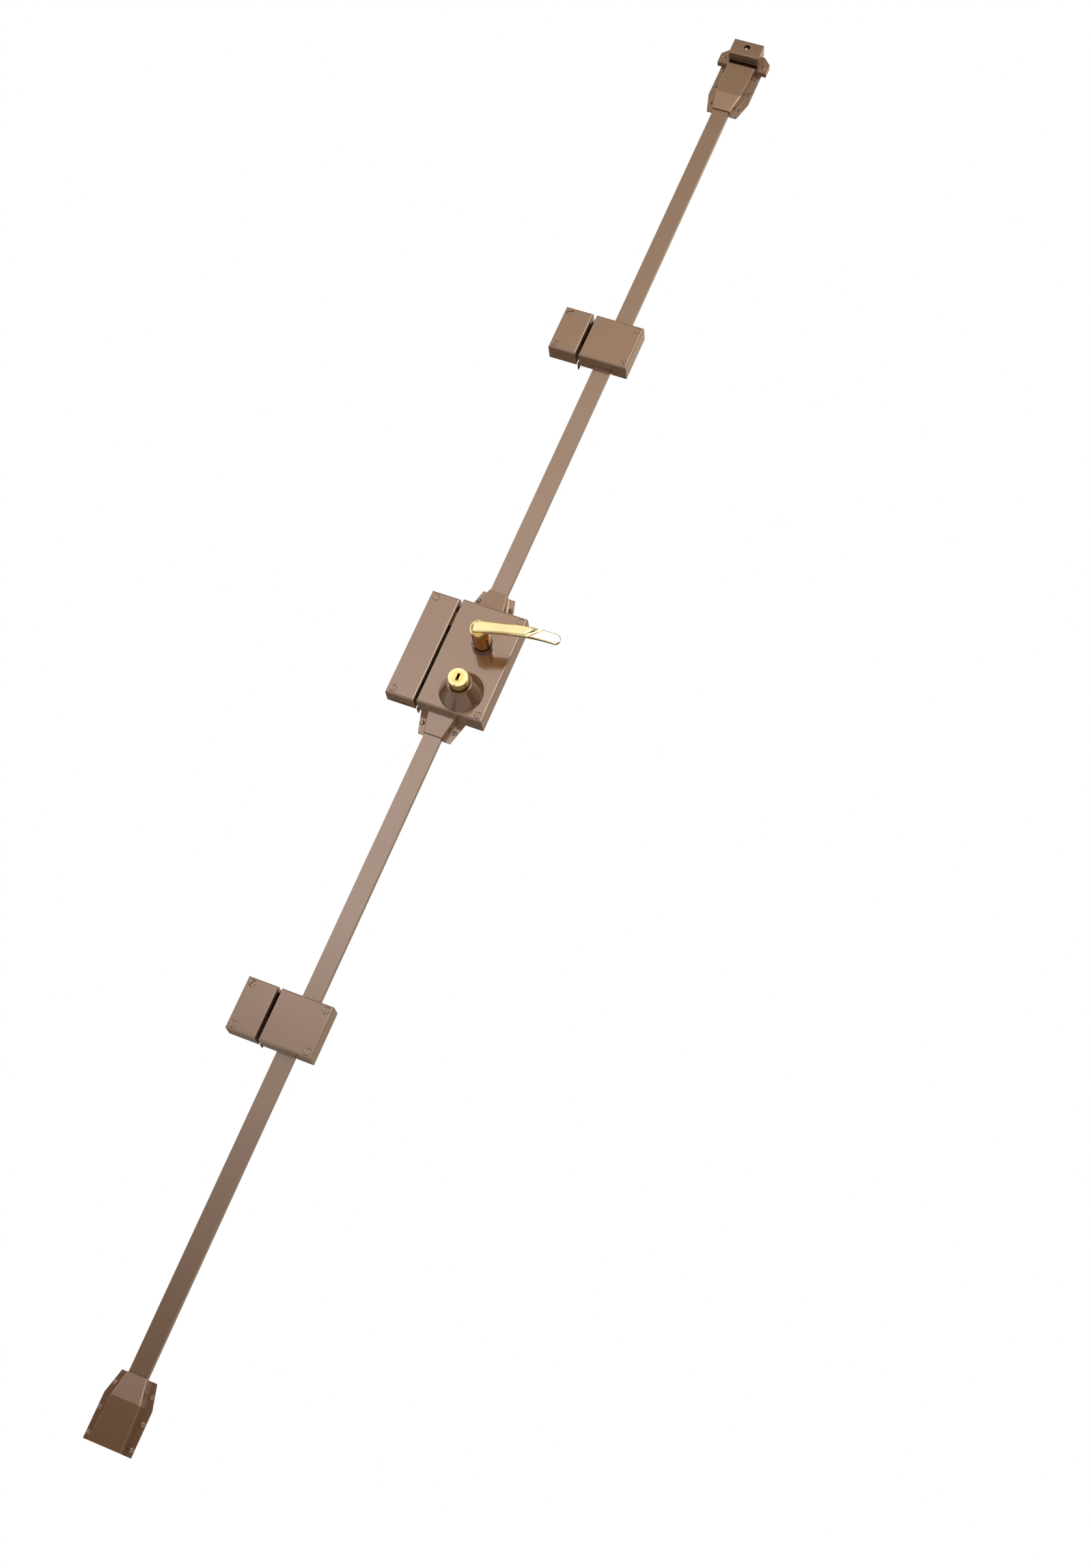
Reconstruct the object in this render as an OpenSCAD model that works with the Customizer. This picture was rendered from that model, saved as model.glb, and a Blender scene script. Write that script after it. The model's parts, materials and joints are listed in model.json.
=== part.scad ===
// Surface-mounted multipoint lock for a single door leaf, in the unlocked state.
// X runs along the door's width (the keepers are on the left), Y runs into the door,
// and Z runs up along the rods. The door's face is the plane Y = 0.

/* [Lock case] */
// Width of the lock case
case_w = 88.5; // [84:0.5:110]
// Height of the lock case
case_h = 153; // [149:1:190]
// Depth of the lock case from the door's face
case_d = 27; // [26:0.5:34]
// Distance from the case's keeper side to the rods' centre line
rod_inset = 34; // [32:0.5:38]
// Distance from the case's keeper side to the handle and cylinder axes
backset = 49; // [48:0.5:54]
// Height of the handle's axis above the centre of the case
handle_z = 23; // [20:1:30]
// Depth of the cylinder's axis below the centre of the case
cylinder_drop = 46; // [44:1:48]

/* [Intermediate boxes] */
// Width of each intermediate box
box_w = 68; // [66:0.5:80]
// Height of each intermediate box
box_h = 68; // [68:0.5:90]
// Depth of each intermediate box
box_d = 25; // [23:0.5:32]
// Height of the upper box's centre above the centre of the case
upper_box_z = 505; // [300:5:700]
// Depth of the lower box's centre below the centre of the case
lower_box_drop = 511.5; // [300:0.5:700]

/* [Keepers] */
// Width of the keepers beside the case and the boxes
keeper_w = 39; // [37:0.5:50]
// Depth of the keeper beside the case
centre_keeper_d = 23; // [21:0.5:30]
// Gap between a lock and its keeper
keeper_gap = 4.5; // [4.5:0.5:8]
// Gap left above and below a bolt in the centre keeper's windows
centre_window_gap = 10; // [4:0.5:10]
// Gap left above and below a bolt in a box keeper's window
box_window_gap = 4; // [3:0.5:5]

/* [Sheet metal] */
// Wall thickness of the folded covers
shell_t = 1.8; // [1.2:0.1:2.2]
// Outer radius of the covers' folded edges
fold_r = 2; // [1.9:0.1:2.4]
// Thickness of the back plates
plate_t = 2; // [1.5:0.1:2.2]
// Reach of a back plate's return lip round the door's edge
lip_reach = 10.5; // [5:0.5:15]
// Thickness of a return lip
lip_t = 1.5; // [1:0.1:2]

/* [Rods] */
// Width of the flat rods
rod_w = 23; // [20:0.5:25]
// Thickness of the flat rods
rod_t = 8; // [6.5:0.5:8]
// Travel of the rods and of the bolts
throw = 20; // [16:0.5:20]
// Distance from the top guide's narrow end to the centre of the case
top_guide_z = 930.5; // [700:0.5:1100]
// Distance from the bottom guide's narrow end to the centre of the case
bottom_guide_drop = 942; // [700:1:1100]

/* [Guides] */
// Half width of a guide's flange at its narrow end
flange_narrow = 22; // [20:0.5:26]
// Half width of a guide's flange at its wide end
flange_wide = 30; // [28:0.5:34]
// Length of a guide's tapered stretch
guide_taper = 29; // [24:0.5:34]
// Length of an end guide
guide_len = 82.5; // [75:0.5:110]
// Height of a guide's raised channel at its bend
channel_d = 14; // [14:0.5:18]
// Thickness of a guide's sheet
guide_t = 1.5; // [1.2:0.1:1.8]

/* [Top keeper] */
// Width of the top keeper's box
top_keeper_w = 44; // [42:0.5:56]
// Height of the top keeper's box
top_keeper_h = 26; // [26:0.5:40]
// Depth of the top keeper's box
top_keeper_d = 26; // [22:0.5:32]
// Width of each fixing ear of the top keeper
ear_w = 14.5; // [13:0.5:18]
// Depth of the fixing ears
ear_d = 8; // [6:0.5:10]
// Gap between the top guide and the top keeper
top_keeper_gap = 8; // [3:0.5:10]

/* [Handle] */
// Distance from the case's face to the front of the lever
handle_reach = 53; // [45:1:65]
// Diameter of the handle's neck
neck_dia = 23; // [20:0.5:24]
// Diameter of the collar round the neck
collar_dia = 26; // [25:0.5:30]
// Height of the collar
collar_h = 3.5; // [2.5:0.5:6]
// Length of the lever from its axis to its tip
lever_len = 102.5; // [90:0.5:120]
// Height of the lever at the neck
lever_root_h = 17.5; // [16:0.5:20]
// Height of the lever near its tip
lever_tip_h = 13.8; // [10:0.2:14]
// Rise of the lever from its axis to its tip
lever_rise = 16.5; // [0:0.5:18]
// Thickness of the lever
lever_t = 8; // [7:0.2:11]
// Angle that the lever turns down
lever_turn = 25; // [20:1:27]
// Travel of the latch bolt
latch_throw = 12; // [9:0.5:12]

/* [Cylinder] */
// Diameter of the cylinder's brass body
cylinder_dia = 26; // [25:0.5:27]
// Distance from the case's face to the front of the cylinder
cylinder_reach = 41; // [38:0.5:50]
// Diameter of the turning plug
plug_dia = 15; // [14:0.5:16]
// Diameter of the cone guard at the case
guard_base_dia = 57; // [54:0.5:58]
// Diameter of the cone guard at its rim
guard_rim_dia = 34; // [33:0.5:38]
// Height of the cone guard
guard_h = 26; // [22:0.5:32]
// Number of teeth on the drive pinion
pinion_teeth = 8; // [8:2:10]

/* [Screws] */
// Head diameter of the countersunk cover screws
cover_screw_head = 9.6; // [8:0.2:9.8]
// Shank diameter of the cover screws
cover_screw_dia = 5; // [4:0.5:5]
// Head diameter of the round-head wood screws
wood_head = 7; // [6:0.5:8]
// Shank diameter of the round-head wood screws
wood_dia = 3.5; // [3:0.25:4]
// Length of a wood screw's shank behind the door's face
wood_len = 16; // [12:1:30]
// Diameter of the countersunk fixing holes in the back plates
fixing_dia = 5.2; // [4:0.2:5.4]

/* [Hidden] */

$fn = 48;

// Clearances
slide_gap = 0.4;        // round a sliding piece
run_gap = 0.06;         // radial, round a turning piece
seat_gap = 0.2;         // between a plate and the cover round it
screw_gap = 0.1;        // radial, round a screw's shank
cut = 1;                // how far a cutting solid passes a face
head_rim = 0.2;         // height of a cover screw's straight rim
head_proud = 0.8;       // how far a cover screw's head stands out of its cover

// Places across the door
lock_x = -rod_inset;                    // keeper side of the case and the boxes
case_x2 = lock_x + case_w;              // far side of the case
box_x2 = lock_x + box_w;                // far side of a box
axis_x = lock_x + backset;              // handle and cylinder axes
keeper_x2 = lock_x - keeper_gap;        // side of a keeper that faces the lock
keeper_x1 = keeper_x2 - keeper_w;       // far side of a keeper
cylinder_z = -cylinder_drop;
lower_box_z = -lower_box_drop;

// Layers through the depth, measured out of the door's face
rod_back = plate_t + 0.5;               // back of the rods and racks
rod_front = rod_back + rod_t;           // front of the rods and racks
tail_back = rod_front + 1;              // back of the bolts' tail plates
tail_front = tail_back + 3.5;           // front of the bolts
nose_back = tail_front - 10;            // back of the bolts' noses
arm_back = tail_front + 0.5;            // back of the follower's arm
arm_front = arm_back + 4.5;             // front of the follower's arm

// Rack and pinion: one turn of the key moves the racks by the whole throw
pitch_r = throw / (2 * PI);
gear_module = 2 * pitch_r / pinion_teeth;
pressure = 30;
backlash = 0.26;
tooth_tip = 0.75 * gear_module;
tooth_root = 1.0 * gear_module;
pinion_face = rod_t - 1;
rack_w = 8;                             // width of a rack's bar behind its teeth
rack_reach = 3 * gear_module;           // teeth beyond the pinion's centre at each end of travel

// Bolts
nose_right = -rod_w / 2 - 2.5;          // end of a bolt's nose beside the rod
bolt_proud = 2.5;                       // how far a withdrawn bolt stands out of its lock
latch_right = nose_right - latch_throw; // end of the latch's nose, clear of the rod when pulled in
latch_z1 = handle_z + 18;               // bottom of the latch bolt
latch_z2 = latch_z1 + 21;               // top of the latch bolt
dead_z1 = cylinder_z + 4;               // bottom of the centre deadbolt
dead_z2 = dead_z1 + 37;                 // top of the centre deadbolt
box_bolt_z1 = 2;                        // bottom of an intermediate bolt above its box's centre
box_bolt_z2 = 26;                       // top of an intermediate bolt above its box's centre
box_tail_h = 32;                        // height of an intermediate bolt's tail
pin_r = 2.5;                            // drive pins
slot_gap = 0.3;                         // round a drive pin in its slot

// Screw places
case_screw_x = case_x2 - 7.1;
case_screw_z = case_h / 2 - 7;
box_screw_x = box_x2 - 7.3;
box_screw_z = box_h / 2 - 7.2;
keeper_screw_x = keeper_x1 + 7.2;
centre_keeper_screw_x = keeper_x1 + 8;
pillar_r = 4;
guide_screw_in = 3.8;                   // from the flange's edge to a screw

// Guides
channel_narrow = rod_w / 2 + guide_t + 0.2;
channel_bend = flange_wide - 10;
channel_wide = flange_wide - 8;
channel_low = rod_front + guide_t + 0.5;
top_guide_end = top_guide_z + guide_len;
bottom_guide_end = -bottom_guide_drop - guide_len;
case_guide_len = guide_taper + 1.8;
case_guide_end = case_h / 2 + case_guide_len;
top_keeper_z = top_guide_end + top_keeper_gap;

brown = [0.59, 0.47, 0.39];
brass = [0.85, 0.68, 0.32];
steel = [0.72, 0.72, 0.70];
black = [0.10, 0.10, 0.10];

// Turns a shape drawn in the X-Z plane so that its extrusion runs out of the door
module out_of_door(from = 0) {
    translate([0, -from, 0]) rotate([90, 0, 0]) children();
}

// A cylinder that stands out of the door from depth y1 to depth y2
module post(x, z, y1, y2, r, r_front = -1) {
    translate([x, -y1, z]) rotate([90, 0, 0])
        cylinder(h = y2 - y1, r1 = r, r2 = r_front < 0 ? r : r_front);
}

// A block between two corners, with depths measured out of the door
module block(x1, x2, y1, y2, z1, z2) {
    translate([x1, -y2, z1]) cube([x2 - x1, y2 - y1, z2 - z1]);
}

// Outline of a folded box: square at the door, rounded at the front
module folded_outline(w, d, r) {
    translate([0, r]) square([w, d - r]);
    translate([r, 0]) square([w - 2 * r, r + 0.01]);
    for (x = [r, w - r])
        translate([x, r]) circle(r = r);
}

// Solid of a folded box, rounded along its four front edges
module folded_block(x1, x2, d, z1, z2, r) {
    intersection() {
        translate([x1, -d, z1]) linear_extrude(z2 - z1) folded_outline(x2 - x1, d, r);
        translate([x1, -d, z2]) rotate([0, 90, 0])
            linear_extrude(x2 - x1) folded_outline(z2 - z1, d, r);
    }
}

// Folded cover, open towards the door
module folded_cover(x1, x2, d, z1, z2) {
    inner_r = max(fold_r - shell_t, 0.4);
    difference() {
        folded_block(x1, x2, d, z1, z2, fold_r);
        translate([0, cut, 0])
            folded_block(x1 + shell_t, x2 - shell_t, d - shell_t + cut,
                z1 + shell_t, z2 - shell_t, inner_r);
    }
}

// Hole with a countersink for a cover screw, in a front wall at depth d
module cover_screw_hole(x, z, d) {
    shank_r = cover_screw_dia / 2 + screw_gap;
    head_r = cover_screw_head / 2 + screw_gap;
    post(x, z, d - shell_t - cut, d + cut, shank_r);
    post(x, z, d - shell_t, d - head_rim, shank_r, head_r);
    post(x, z, d - head_rim - 0.01, d + cut, head_r);
}

// Countersunk slotted screw whose raised head ends a little proud of depth d
module cover_screw(x, z, d, turn) {
    slot_w = 1.3;
    difference() {
        union() {
            post(x, z, plate_t + 0.3, d - shell_t, cover_screw_dia / 2);
            post(x, z, d - shell_t, d - head_rim, cover_screw_dia / 2, cover_screw_head / 2);
            post(x, z, d - head_rim, d + 0.2, cover_screw_head / 2);
            post(x, z, d + 0.2, d + head_proud, cover_screw_head / 2, cover_screw_head / 2 - 1);
        }
        translate([x, -d, z]) rotate([0, turn, 0])
            cube([slot_w, 2.2, cover_screw_head + cut], center = true);
    }
}

// Round-head slotted wood screw standing on a sheet at depth d
module wood_screw(x, z, d, turn) {
    head_h = 0.38 * wood_head;
    ball_r = (wood_head * wood_head / 4 + head_h * head_h) / (2 * head_h);
    slot_w = 1;
    difference() {
        union() {
            intersection() {
                translate([x, -(d + head_h - ball_r), z]) sphere(r = ball_r);
                post(x, z, d, d + head_h + cut, wood_head / 2);
            }
            post(x, z, 4 - wood_len, d + 0.2, wood_dia / 2);
            post(x, z, -wood_len, 4 - wood_len, 0.3, wood_dia / 2);
        }
        translate([x, -(d + head_h), z]) rotate([0, turn, 0])
            cube([slot_w, 2.2, wood_head + cut], center = true);
    }
}

// Tubular pillar that a cover screw is threaded into
module pillar(x, z, d) {
    difference() {
        post(x, z, plate_t - 0.5, d - shell_t, pillar_r);
        post(x, z, plate_t, d, cover_screw_dia / 2 + run_gap);
    }
}

// Countersunk hole through a back plate
module fixing_hole(x, z) {
    post(x, z, -cut, plate_t + cut, fixing_dia / 2);
    post(x, z, plate_t - 1.4, plate_t, fixing_dia / 2, fixing_dia / 2 + 1.8);
    post(x, z, plate_t - 0.01, plate_t + cut, fixing_dia / 2 + 1.8);
}

// Back plate of a lock: flat sheet inside the cover, with its lip round the door's edge
module lock_plate(x2, z1, z2) {
    inset = shell_t + seat_gap;
    block(lock_x + inset, x2 - inset, 0, plate_t, z1 + inset, z2 - inset);
    block(lock_x - lip_t - 1.5, lock_x + inset + cut, 0, plate_t, z1 + inset, z2 - inset);
    block(lock_x - lip_t - 1.5, lock_x - 1.5, -lip_reach, plate_t, z1, z2);
}

// Window for a bolt through a wall on the keeper side of a lock
module bolt_window(z1, z2, x = lock_x) {
    block(x - cut, x + shell_t + cut, nose_back - slide_gap, tail_front + slide_gap,
        z1 - slide_gap, z2 + slide_gap);
}

// Notch for a rod through an end wall that starts at z
module rod_notch(z) {
    block(-rod_w / 2 - slide_gap, rod_w / 2 + slide_gap, -cut, rod_front + slide_gap,
        z - cut, z + shell_t + cut);
}

// Strip taken off a lock cover's keeper side, where the back plate passes under it
module lip_pass(z1, z2) {
    block(lock_x - cut, lock_x + shell_t + cut, -cut, plate_t + seat_gap, z1 - cut, z2 + cut);
}

// Lock case

module case_cover() {
    h = case_h / 2;
    color(brown) difference() {
        folded_cover(lock_x, case_x2, case_d, -h, h);
        for (s = [-1, 1])
            cover_screw_hole(case_screw_x, s * case_screw_z, case_d);
        bolt_window(latch_z1, latch_z2);
        bolt_window(dead_z1, dead_z2);
        rod_notch(h - shell_t);
        rod_notch(-h);
        lip_pass(-h, h);
        post(axis_x, handle_z, case_d - shell_t - cut, case_d + cut, stub_r + run_gap);
        post(axis_x, cylinder_z, case_d - shell_t - cut, case_d + cut,
            cylinder_dia / 2 + screw_gap);
    }
}

spring_post_x = case_screw_x - pillar_r - 2.4;  // post that the latch spring pushes against

module case_back_plate() {
    h = case_h / 2;
    fix_z = case_h / 2 - 10;
    color(black) difference() {
        union() {
            lock_plate(case_x2, -h, h);
            for (s = [-1, 1])
                pillar(case_screw_x, s * case_screw_z, case_d);
            block(spring_post_x, spring_post_x + 2, 0, case_d - shell_t - seat_gap,
                latch_z1 + 4, latch_z2 - 4);
        }
        for (x = [lock_x + 8, case_x2 - 17.5])
            for (s = [-1, 1])
                fixing_hole(x, s * fix_z);
        post(axis_x, handle_z, -cut, plate_t + cut, trunnion_r + run_gap);
        post(axis_x, cylinder_z, -cut, plate_t + cut, pinion_shaft_r + run_gap);
    }
}

case_slot_turns = [-38, 8];             // how far the screws' slots are turned

module case_cover_screws() {
    color(brown) {
        cover_screw(case_screw_x, case_screw_z, case_d, case_slot_turns[0]);
        cover_screw(case_screw_x, -case_screw_z, case_d, case_slot_turns[1]);
    }
}

// Cylinder

plug_r = plug_dia / 2;
cylinder_front = case_d + cylinder_reach;
cylinder_back = tail_front + 1.2;
pinion_shaft_r = 1.6;
keyway_w = 3.6;
keyway_h = 10.5;
keyway_depth = 24;
guard_recess = 6;

// Cone guard, drawn as radius against height above the case
module cylinder_guard() {
    base_r = guard_base_dia / 2;
    rim_r = guard_rim_dia / 2;
    bore_r = cylinder_dia / 2 + screw_gap;
    recess_r = bore_r + 1;
    rim_round = 1;
    color(brown) translate([axis_x, -case_d, cylinder_z]) rotate([90, 0, 0])
        rotate_extrude($fn = 96)
            difference() {
                union() {
                    polygon([[bore_r, 0], [base_r, 0], [base_r, 0.8],
                        [rim_r, guard_h - rim_round], [rim_r - rim_round, guard_h],
                        [bore_r, guard_h]]);
                    translate([rim_r - rim_round, guard_h - rim_round]) circle(r = rim_round);
                }
                translate([0, guard_h - guard_recess]) square([recess_r, guard_recess + cut]);
            }
}

module cylinder_body() {
    r = cylinder_dia / 2;
    nick = 3;
    color(brass) difference() {
        union() {
            post(axis_x, cylinder_z, cylinder_back, cylinder_front - 0.7, r);
            post(axis_x, cylinder_z, cylinder_front - 0.7, cylinder_front, r, r - 0.7);
            post(axis_x, cylinder_z, cylinder_back, case_d - shell_t - 0.2, r + 2);
        }
        post(axis_x, cylinder_z, cylinder_back - cut, cylinder_front + cut, plug_r + run_gap);
        translate([axis_x, -cylinder_front, cylinder_z - r]) rotate([0, 45, 0])
            rotate([45, 0, 0]) cube([nick, nick, nick], center = true);
    }
}

module cylinder_plug() {
    color(brass) difference() {
        union() {
            post(axis_x, cylinder_z, cylinder_back, cylinder_front, plug_r);
            post(axis_x, cylinder_z, 0, cylinder_back + cut, pinion_shaft_r);
        }
        translate([axis_x - keyway_w / 2, -cylinder_front - cut, cylinder_z - keyway_h / 2])
            cube([keyway_w, keyway_depth + cut, keyway_h]);
    }
}

// Slanted steel leaf that closes the keyway behind its mouth
module keyway_shutter() {
    leaf_t = 0.8;
    color(steel) translate([axis_x - keyway_w / 2 + 0.1, -cylinder_front + 1.2, cylinder_z])
        rotate([0, 90, 0]) linear_extrude(keyway_w - 0.2)
            polygon([[keyway_h / 2 - 0.05, 0], [keyway_h / 2 - 0.05, leaf_t],
                [-1, 8 + leaf_t], [-1, 8]]);
}

function involute(a) = tan(a) - a * PI / 180;
function half_tooth(rho) =
    (PI * gear_module - backlash) / (4 * pitch_r) + involute(pressure)
    - involute(acos(min(1, pitch_r * cos(pressure) / rho)));

// Toothed outline of the pinion, one tooth pointing along +X
module pinion_outline() {
    base_r = pitch_r * cos(pressure);
    tip_r = pitch_r + tooth_tip;
    steps = 4;
    right = [for (i = [0 : steps]) let (rho = base_r + (tip_r - base_r) * i / steps)
        [rho, half_tooth(rho) * 180 / PI]];
    polygon([for (k = [0 : pinion_teeth - 1]) let (mid = k * 360 / pinion_teeth) each concat(
        [[(pitch_r - tooth_root) * cos(mid - right[0][1]),
          (pitch_r - tooth_root) * sin(mid - right[0][1])]],
        [for (p = right) [p[0] * cos(mid - p[1]), p[0] * sin(mid - p[1])]],
        [for (i = [steps : -1 : 0]) let (p = right[i])
            [p[0] * cos(mid + p[1]), p[0] * sin(mid + p[1])]],
        [[(pitch_r - tooth_root) * cos(mid + right[0][1]),
          (pitch_r - tooth_root) * sin(mid + right[0][1])]])]);
}

module drive_pinion() {
    color(steel) difference() {
        translate([axis_x, -rod_back - 0.5, cylinder_z]) rotate([90, 0, 0])
            linear_extrude(pinion_face) pinion_outline();
        post(axis_x, cylinder_z, 0, rod_front + cut, pinion_shaft_r + 0.02);
    }
}

// Toothed bar along Z, with its pitch line at X = 0 and its teeth towards +X
module rack_bar(z1, z2, first, last) {
    pitch = PI * gear_module;
    half = (PI * gear_module - backlash) / 4;
    tip = half - tooth_tip * tan(pressure);
    root = half + (tooth_root - 0.05) * tan(pressure);
    low = tooth_root;
    block(-low - rack_w, -low, rod_back, rod_front, z1, z2);
    translate([0, -rod_back, 0]) rotate([90, 0, 0]) linear_extrude(rod_t)
        for (k = [first : last])
            polygon([[-low - 0.2, (k + 0.5) * pitch - root], [tooth_tip - 0.2, (k + 0.5) * pitch - tip],
                [tooth_tip - 0.2, (k + 0.5) * pitch + tip], [-low - 0.2, (k + 0.5) * pitch + root]]);
}

// Handle

trunnion_r = 2.8;
stub_r = 9.9;                           // follower's stub in the cover's hole
spindle = 8;
lever_front = case_d + handle_reach;
neck_back = case_d + 0.3;
follower_r = 11.5;
arm_len = (latch_z1 + latch_z2) / 2 - handle_z;

module handle_collar() {
    bore_r = neck_dia / 2 + run_gap;
    edge = 0.6;
    color(brown) translate([axis_x, -case_d, handle_z]) rotate([90, 0, 0])
        rotate_extrude($fn = 64) {
            translate([bore_r, 0]) square([collar_dia / 2 - bore_r, collar_h - edge]);
            translate([bore_r, 0]) square([collar_dia / 2 - bore_r - edge, collar_h]);
            translate([collar_dia / 2 - edge, collar_h - edge]) circle(r = edge, $fn = 24);
        }
}

// Lever, drawn from its axis along X. The centre line climbs and then levels off.
lever_flat = lever_len - lever_tip_h / 2;
function lever_mid(x) = lever_rise * (1 - pow(max(0, 1 - x / lever_flat), 1.75));
function lever_height(x) = lever_tip_h
    + (lever_root_h - lever_tip_h) * pow(max(0, 1 - max(0, x) / lever_len), 4);
// Half height of the lever, with its two round ends
function lever_half(x) = x < 0 ? sqrt(max(0.2, pow(lever_root_h / 2, 2) - x * x))
    : x > lever_flat ? sqrt(max(0.2, pow(lever_tip_h / 2, 2) - pow(x - lever_flat, 2)))
    : lever_height(x) / 2;
// Half thickness, eased off at the two ends
function lever_thick(x) = lever_t / 2 * min(1, 0.55 + 0.45 * lever_half(x) / 4.5);
// One cross-section: a rectangle with rounded corners and a slightly crowned front
corner_steps = 3;
function lever_section(x) = let (hz = lever_half(x), hy = lever_thick(x), rc = min(1.5, hz * 0.6))
    [for (q = [0 : 3]) for (i = [0 : corner_steps])
        let (a = 90 * q + 90 * i / corner_steps,
            cy = (q == 0 || q == 3 ? 1 : -1) * (hy - rc), cz = (q < 2 ? 1 : -1) * (hz - rc),
            crown = q == 1 || q == 2 ? 0.5 : 0)
        [x, -lever_front + lever_t / 2 + cy + rc * cos(a) + crown * (i == 0 || i == corner_steps ? 0.4 : 1),
            lever_mid(x) + cz + rc * sin(a)]];

lever_steps = 40;
// Places of the cross-sections, close together round the two ends
function lever_place(i) = let (u = i / lever_steps, end_a = lever_root_h / 2, end_b = lever_tip_h / 2)
    u < 0.15 ? -end_a * 0.998 * cos(90 * u / 0.15)
    : u > 0.85 ? lever_flat + end_b * 0.998 * sin(90 * (u - 0.85) / 0.15)
    : lever_flat * (u - 0.15) / 0.7;

module lever_bar() {
    pts = [for (i = [0 : lever_steps]) each lever_section(lever_place(i))];
    n = 4 * (corner_steps + 1);
    sides = [for (i = [0 : lever_steps - 1]) for (k = [0 : n - 1])
        [i * n + k, (i + 1) * n + k, (i + 1) * n + (k + 1) % n, i * n + (k + 1) % n]];
    ends = [[for (k = [0 : n - 1]) k], [for (k = [n - 1 : -1 : 0]) lever_steps * n + k]];
    polyhedron(points = pts, faces = concat(ends, sides));
}

// Flat on the front of the lever's outer half: where it starts, its depth there and its slope
ground_x = 0.69 * lever_len;
ground_depth = 1.6;
ground_slope = 4;
ground_reach = lever_len;               // long enough to pass the tip
hollow_r = 25;                          // radius of the hollow that runs into the flat

// Solid that cuts the flat and, on a slant across the lever, the hollow that leads into it
module lever_ground_cut() {
    translate([ground_x, ground_depth - lever_front, lever_mid(ground_x)])
        rotate([0, 0, ground_slope]) rotate([0, 45, 0]) translate([0, 0, -ground_reach / 2]) {
            translate([0, -hollow_r, 0]) cube([ground_reach, hollow_r, ground_reach]);
            translate([0, -hollow_r, 0]) cylinder(h = ground_reach, r = hollow_r, $fn = 96);
        }
}

module lever_handle() {
    neck_end = lever_front - lever_t + 1;
    facet = 1.4;
    color(brass) difference() {
        translate([axis_x, 0, handle_z]) difference() {
            lever_bar();
            lever_ground_cut();
        }
        post(axis_x, handle_z, lever_front - lever_t + 0.6, neck_end + cut, 2);
    }
    color(brass) difference() {
        post(axis_x, handle_z, neck_back, neck_end, neck_dia / 2);
        translate([axis_x, -neck_end, handle_z]) rotate([0, 35, 0])
            translate([neck_dia / 2 - facet, -cut, -neck_dia / 2]) cube([neck_dia, 16, neck_dia]);
        block(axis_x - spindle / 2 - 0.02, axis_x + spindle / 2 + 0.02, neck_back - cut, case_d + 24.1,
            handle_z - spindle / 2 - 0.02, handle_z + spindle / 2 + 0.02);
    }
}

module handle_spindle() {
    color(steel) block(axis_x - spindle / 2, axis_x + spindle / 2, arm_back + 0.6, case_d + 24,
        handle_z - spindle / 2, handle_z + spindle / 2);
}

module follower() {
    arm_w = 7;
    color(steel) difference() {
        union() {
            post(axis_x, handle_z, arm_back, case_d - shell_t - 0.3, follower_r);
            post(axis_x, handle_z, case_d - shell_t - 0.4, case_d + 0.1, stub_r);
            post(axis_x, handle_z, 0, arm_back + 0.5, trunnion_r);
            translate([axis_x, 0, handle_z])
                block(-arm_w / 2, arm_w / 2, arm_back, arm_front, 0, arm_len - 2);
            translate([axis_x, 0, handle_z])
                post(0, arm_len - 2, arm_back, arm_front, arm_w / 2);
        }
        block(axis_x - spindle / 2 - 0.02, axis_x + spindle / 2 + 0.02, arm_back + 0.5, case_d + cut,
            handle_z - spindle / 2 - 0.02, handle_z + spindle / 2 + 0.02);
    }
}

// Bolts

lug_gap = 0.5;                          // between the follower's arm and the latch's lug
lug_x = axis_x + 3.5 + lug_gap;
lug_w = 3;

module latch_bolt() {
    mid = (latch_z1 + latch_z2) / 2;
    nose_x = lock_x - latch_throw;
    nose_t = tail_front - nose_back;
    color(steel) {
        difference() {
            block(nose_x, latch_right, nose_back, tail_front, latch_z1, latch_z2);
            // The bevel faces the door, so that the keeper pushes the latch in
            translate([nose_x, -nose_back, latch_z1 - cut]) rotate([0, 0, -48])
                translate([-2 * latch_throw, 0, 0])
                    cube([3 * latch_throw, nose_t + latch_throw, latch_z2 - latch_z1 + 2 * cut]);
        }
        block(latch_right - cut, lug_x + lug_w, tail_back, tail_front, mid - 5, mid + 5);
        block(lug_x, lug_x + lug_w, tail_back, arm_front, mid - 5, mid + 5);
    }
}

spring_r = 3.6;
spring_wire = 0.45;
spring_turns = 5;

// Compression spring between the latch's lug and the post on the back plate
module latch_spring() {
    x1 = lug_x + lug_w + spring_wire;
    x2 = spring_post_x - spring_wire;
    per_turn = 14;
    steps = spring_turns * per_turn;
    sides = 6;
    centre = [0, -(tail_back + arm_front) / 2, (latch_z1 + latch_z2) / 2];
    pts = [for (i = [0 : steps]) let (a = i * 360 / per_turn)
        for (k = [0 : sides - 1]) let (b = k * 360 / sides, r = spring_r + spring_wire * cos(b))
            centre + [x1 + (x2 - x1) * i / steps + spring_wire * sin(b), r * cos(a), r * sin(a)]];
    faces = concat(
        [[for (k = [0 : sides - 1]) k]],
        [[for (k = [sides - 1 : -1 : 0]) steps * sides + k]],
        [for (i = [0 : steps - 1]) for (k = [0 : sides - 1])
            [i * sides + k, (i + 1) * sides + k, (i + 1) * sides + (k + 1) % sides,
             i * sides + (k + 1) % sides]]);
    color(steel) polyhedron(points = pts, faces = faces);
}

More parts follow.
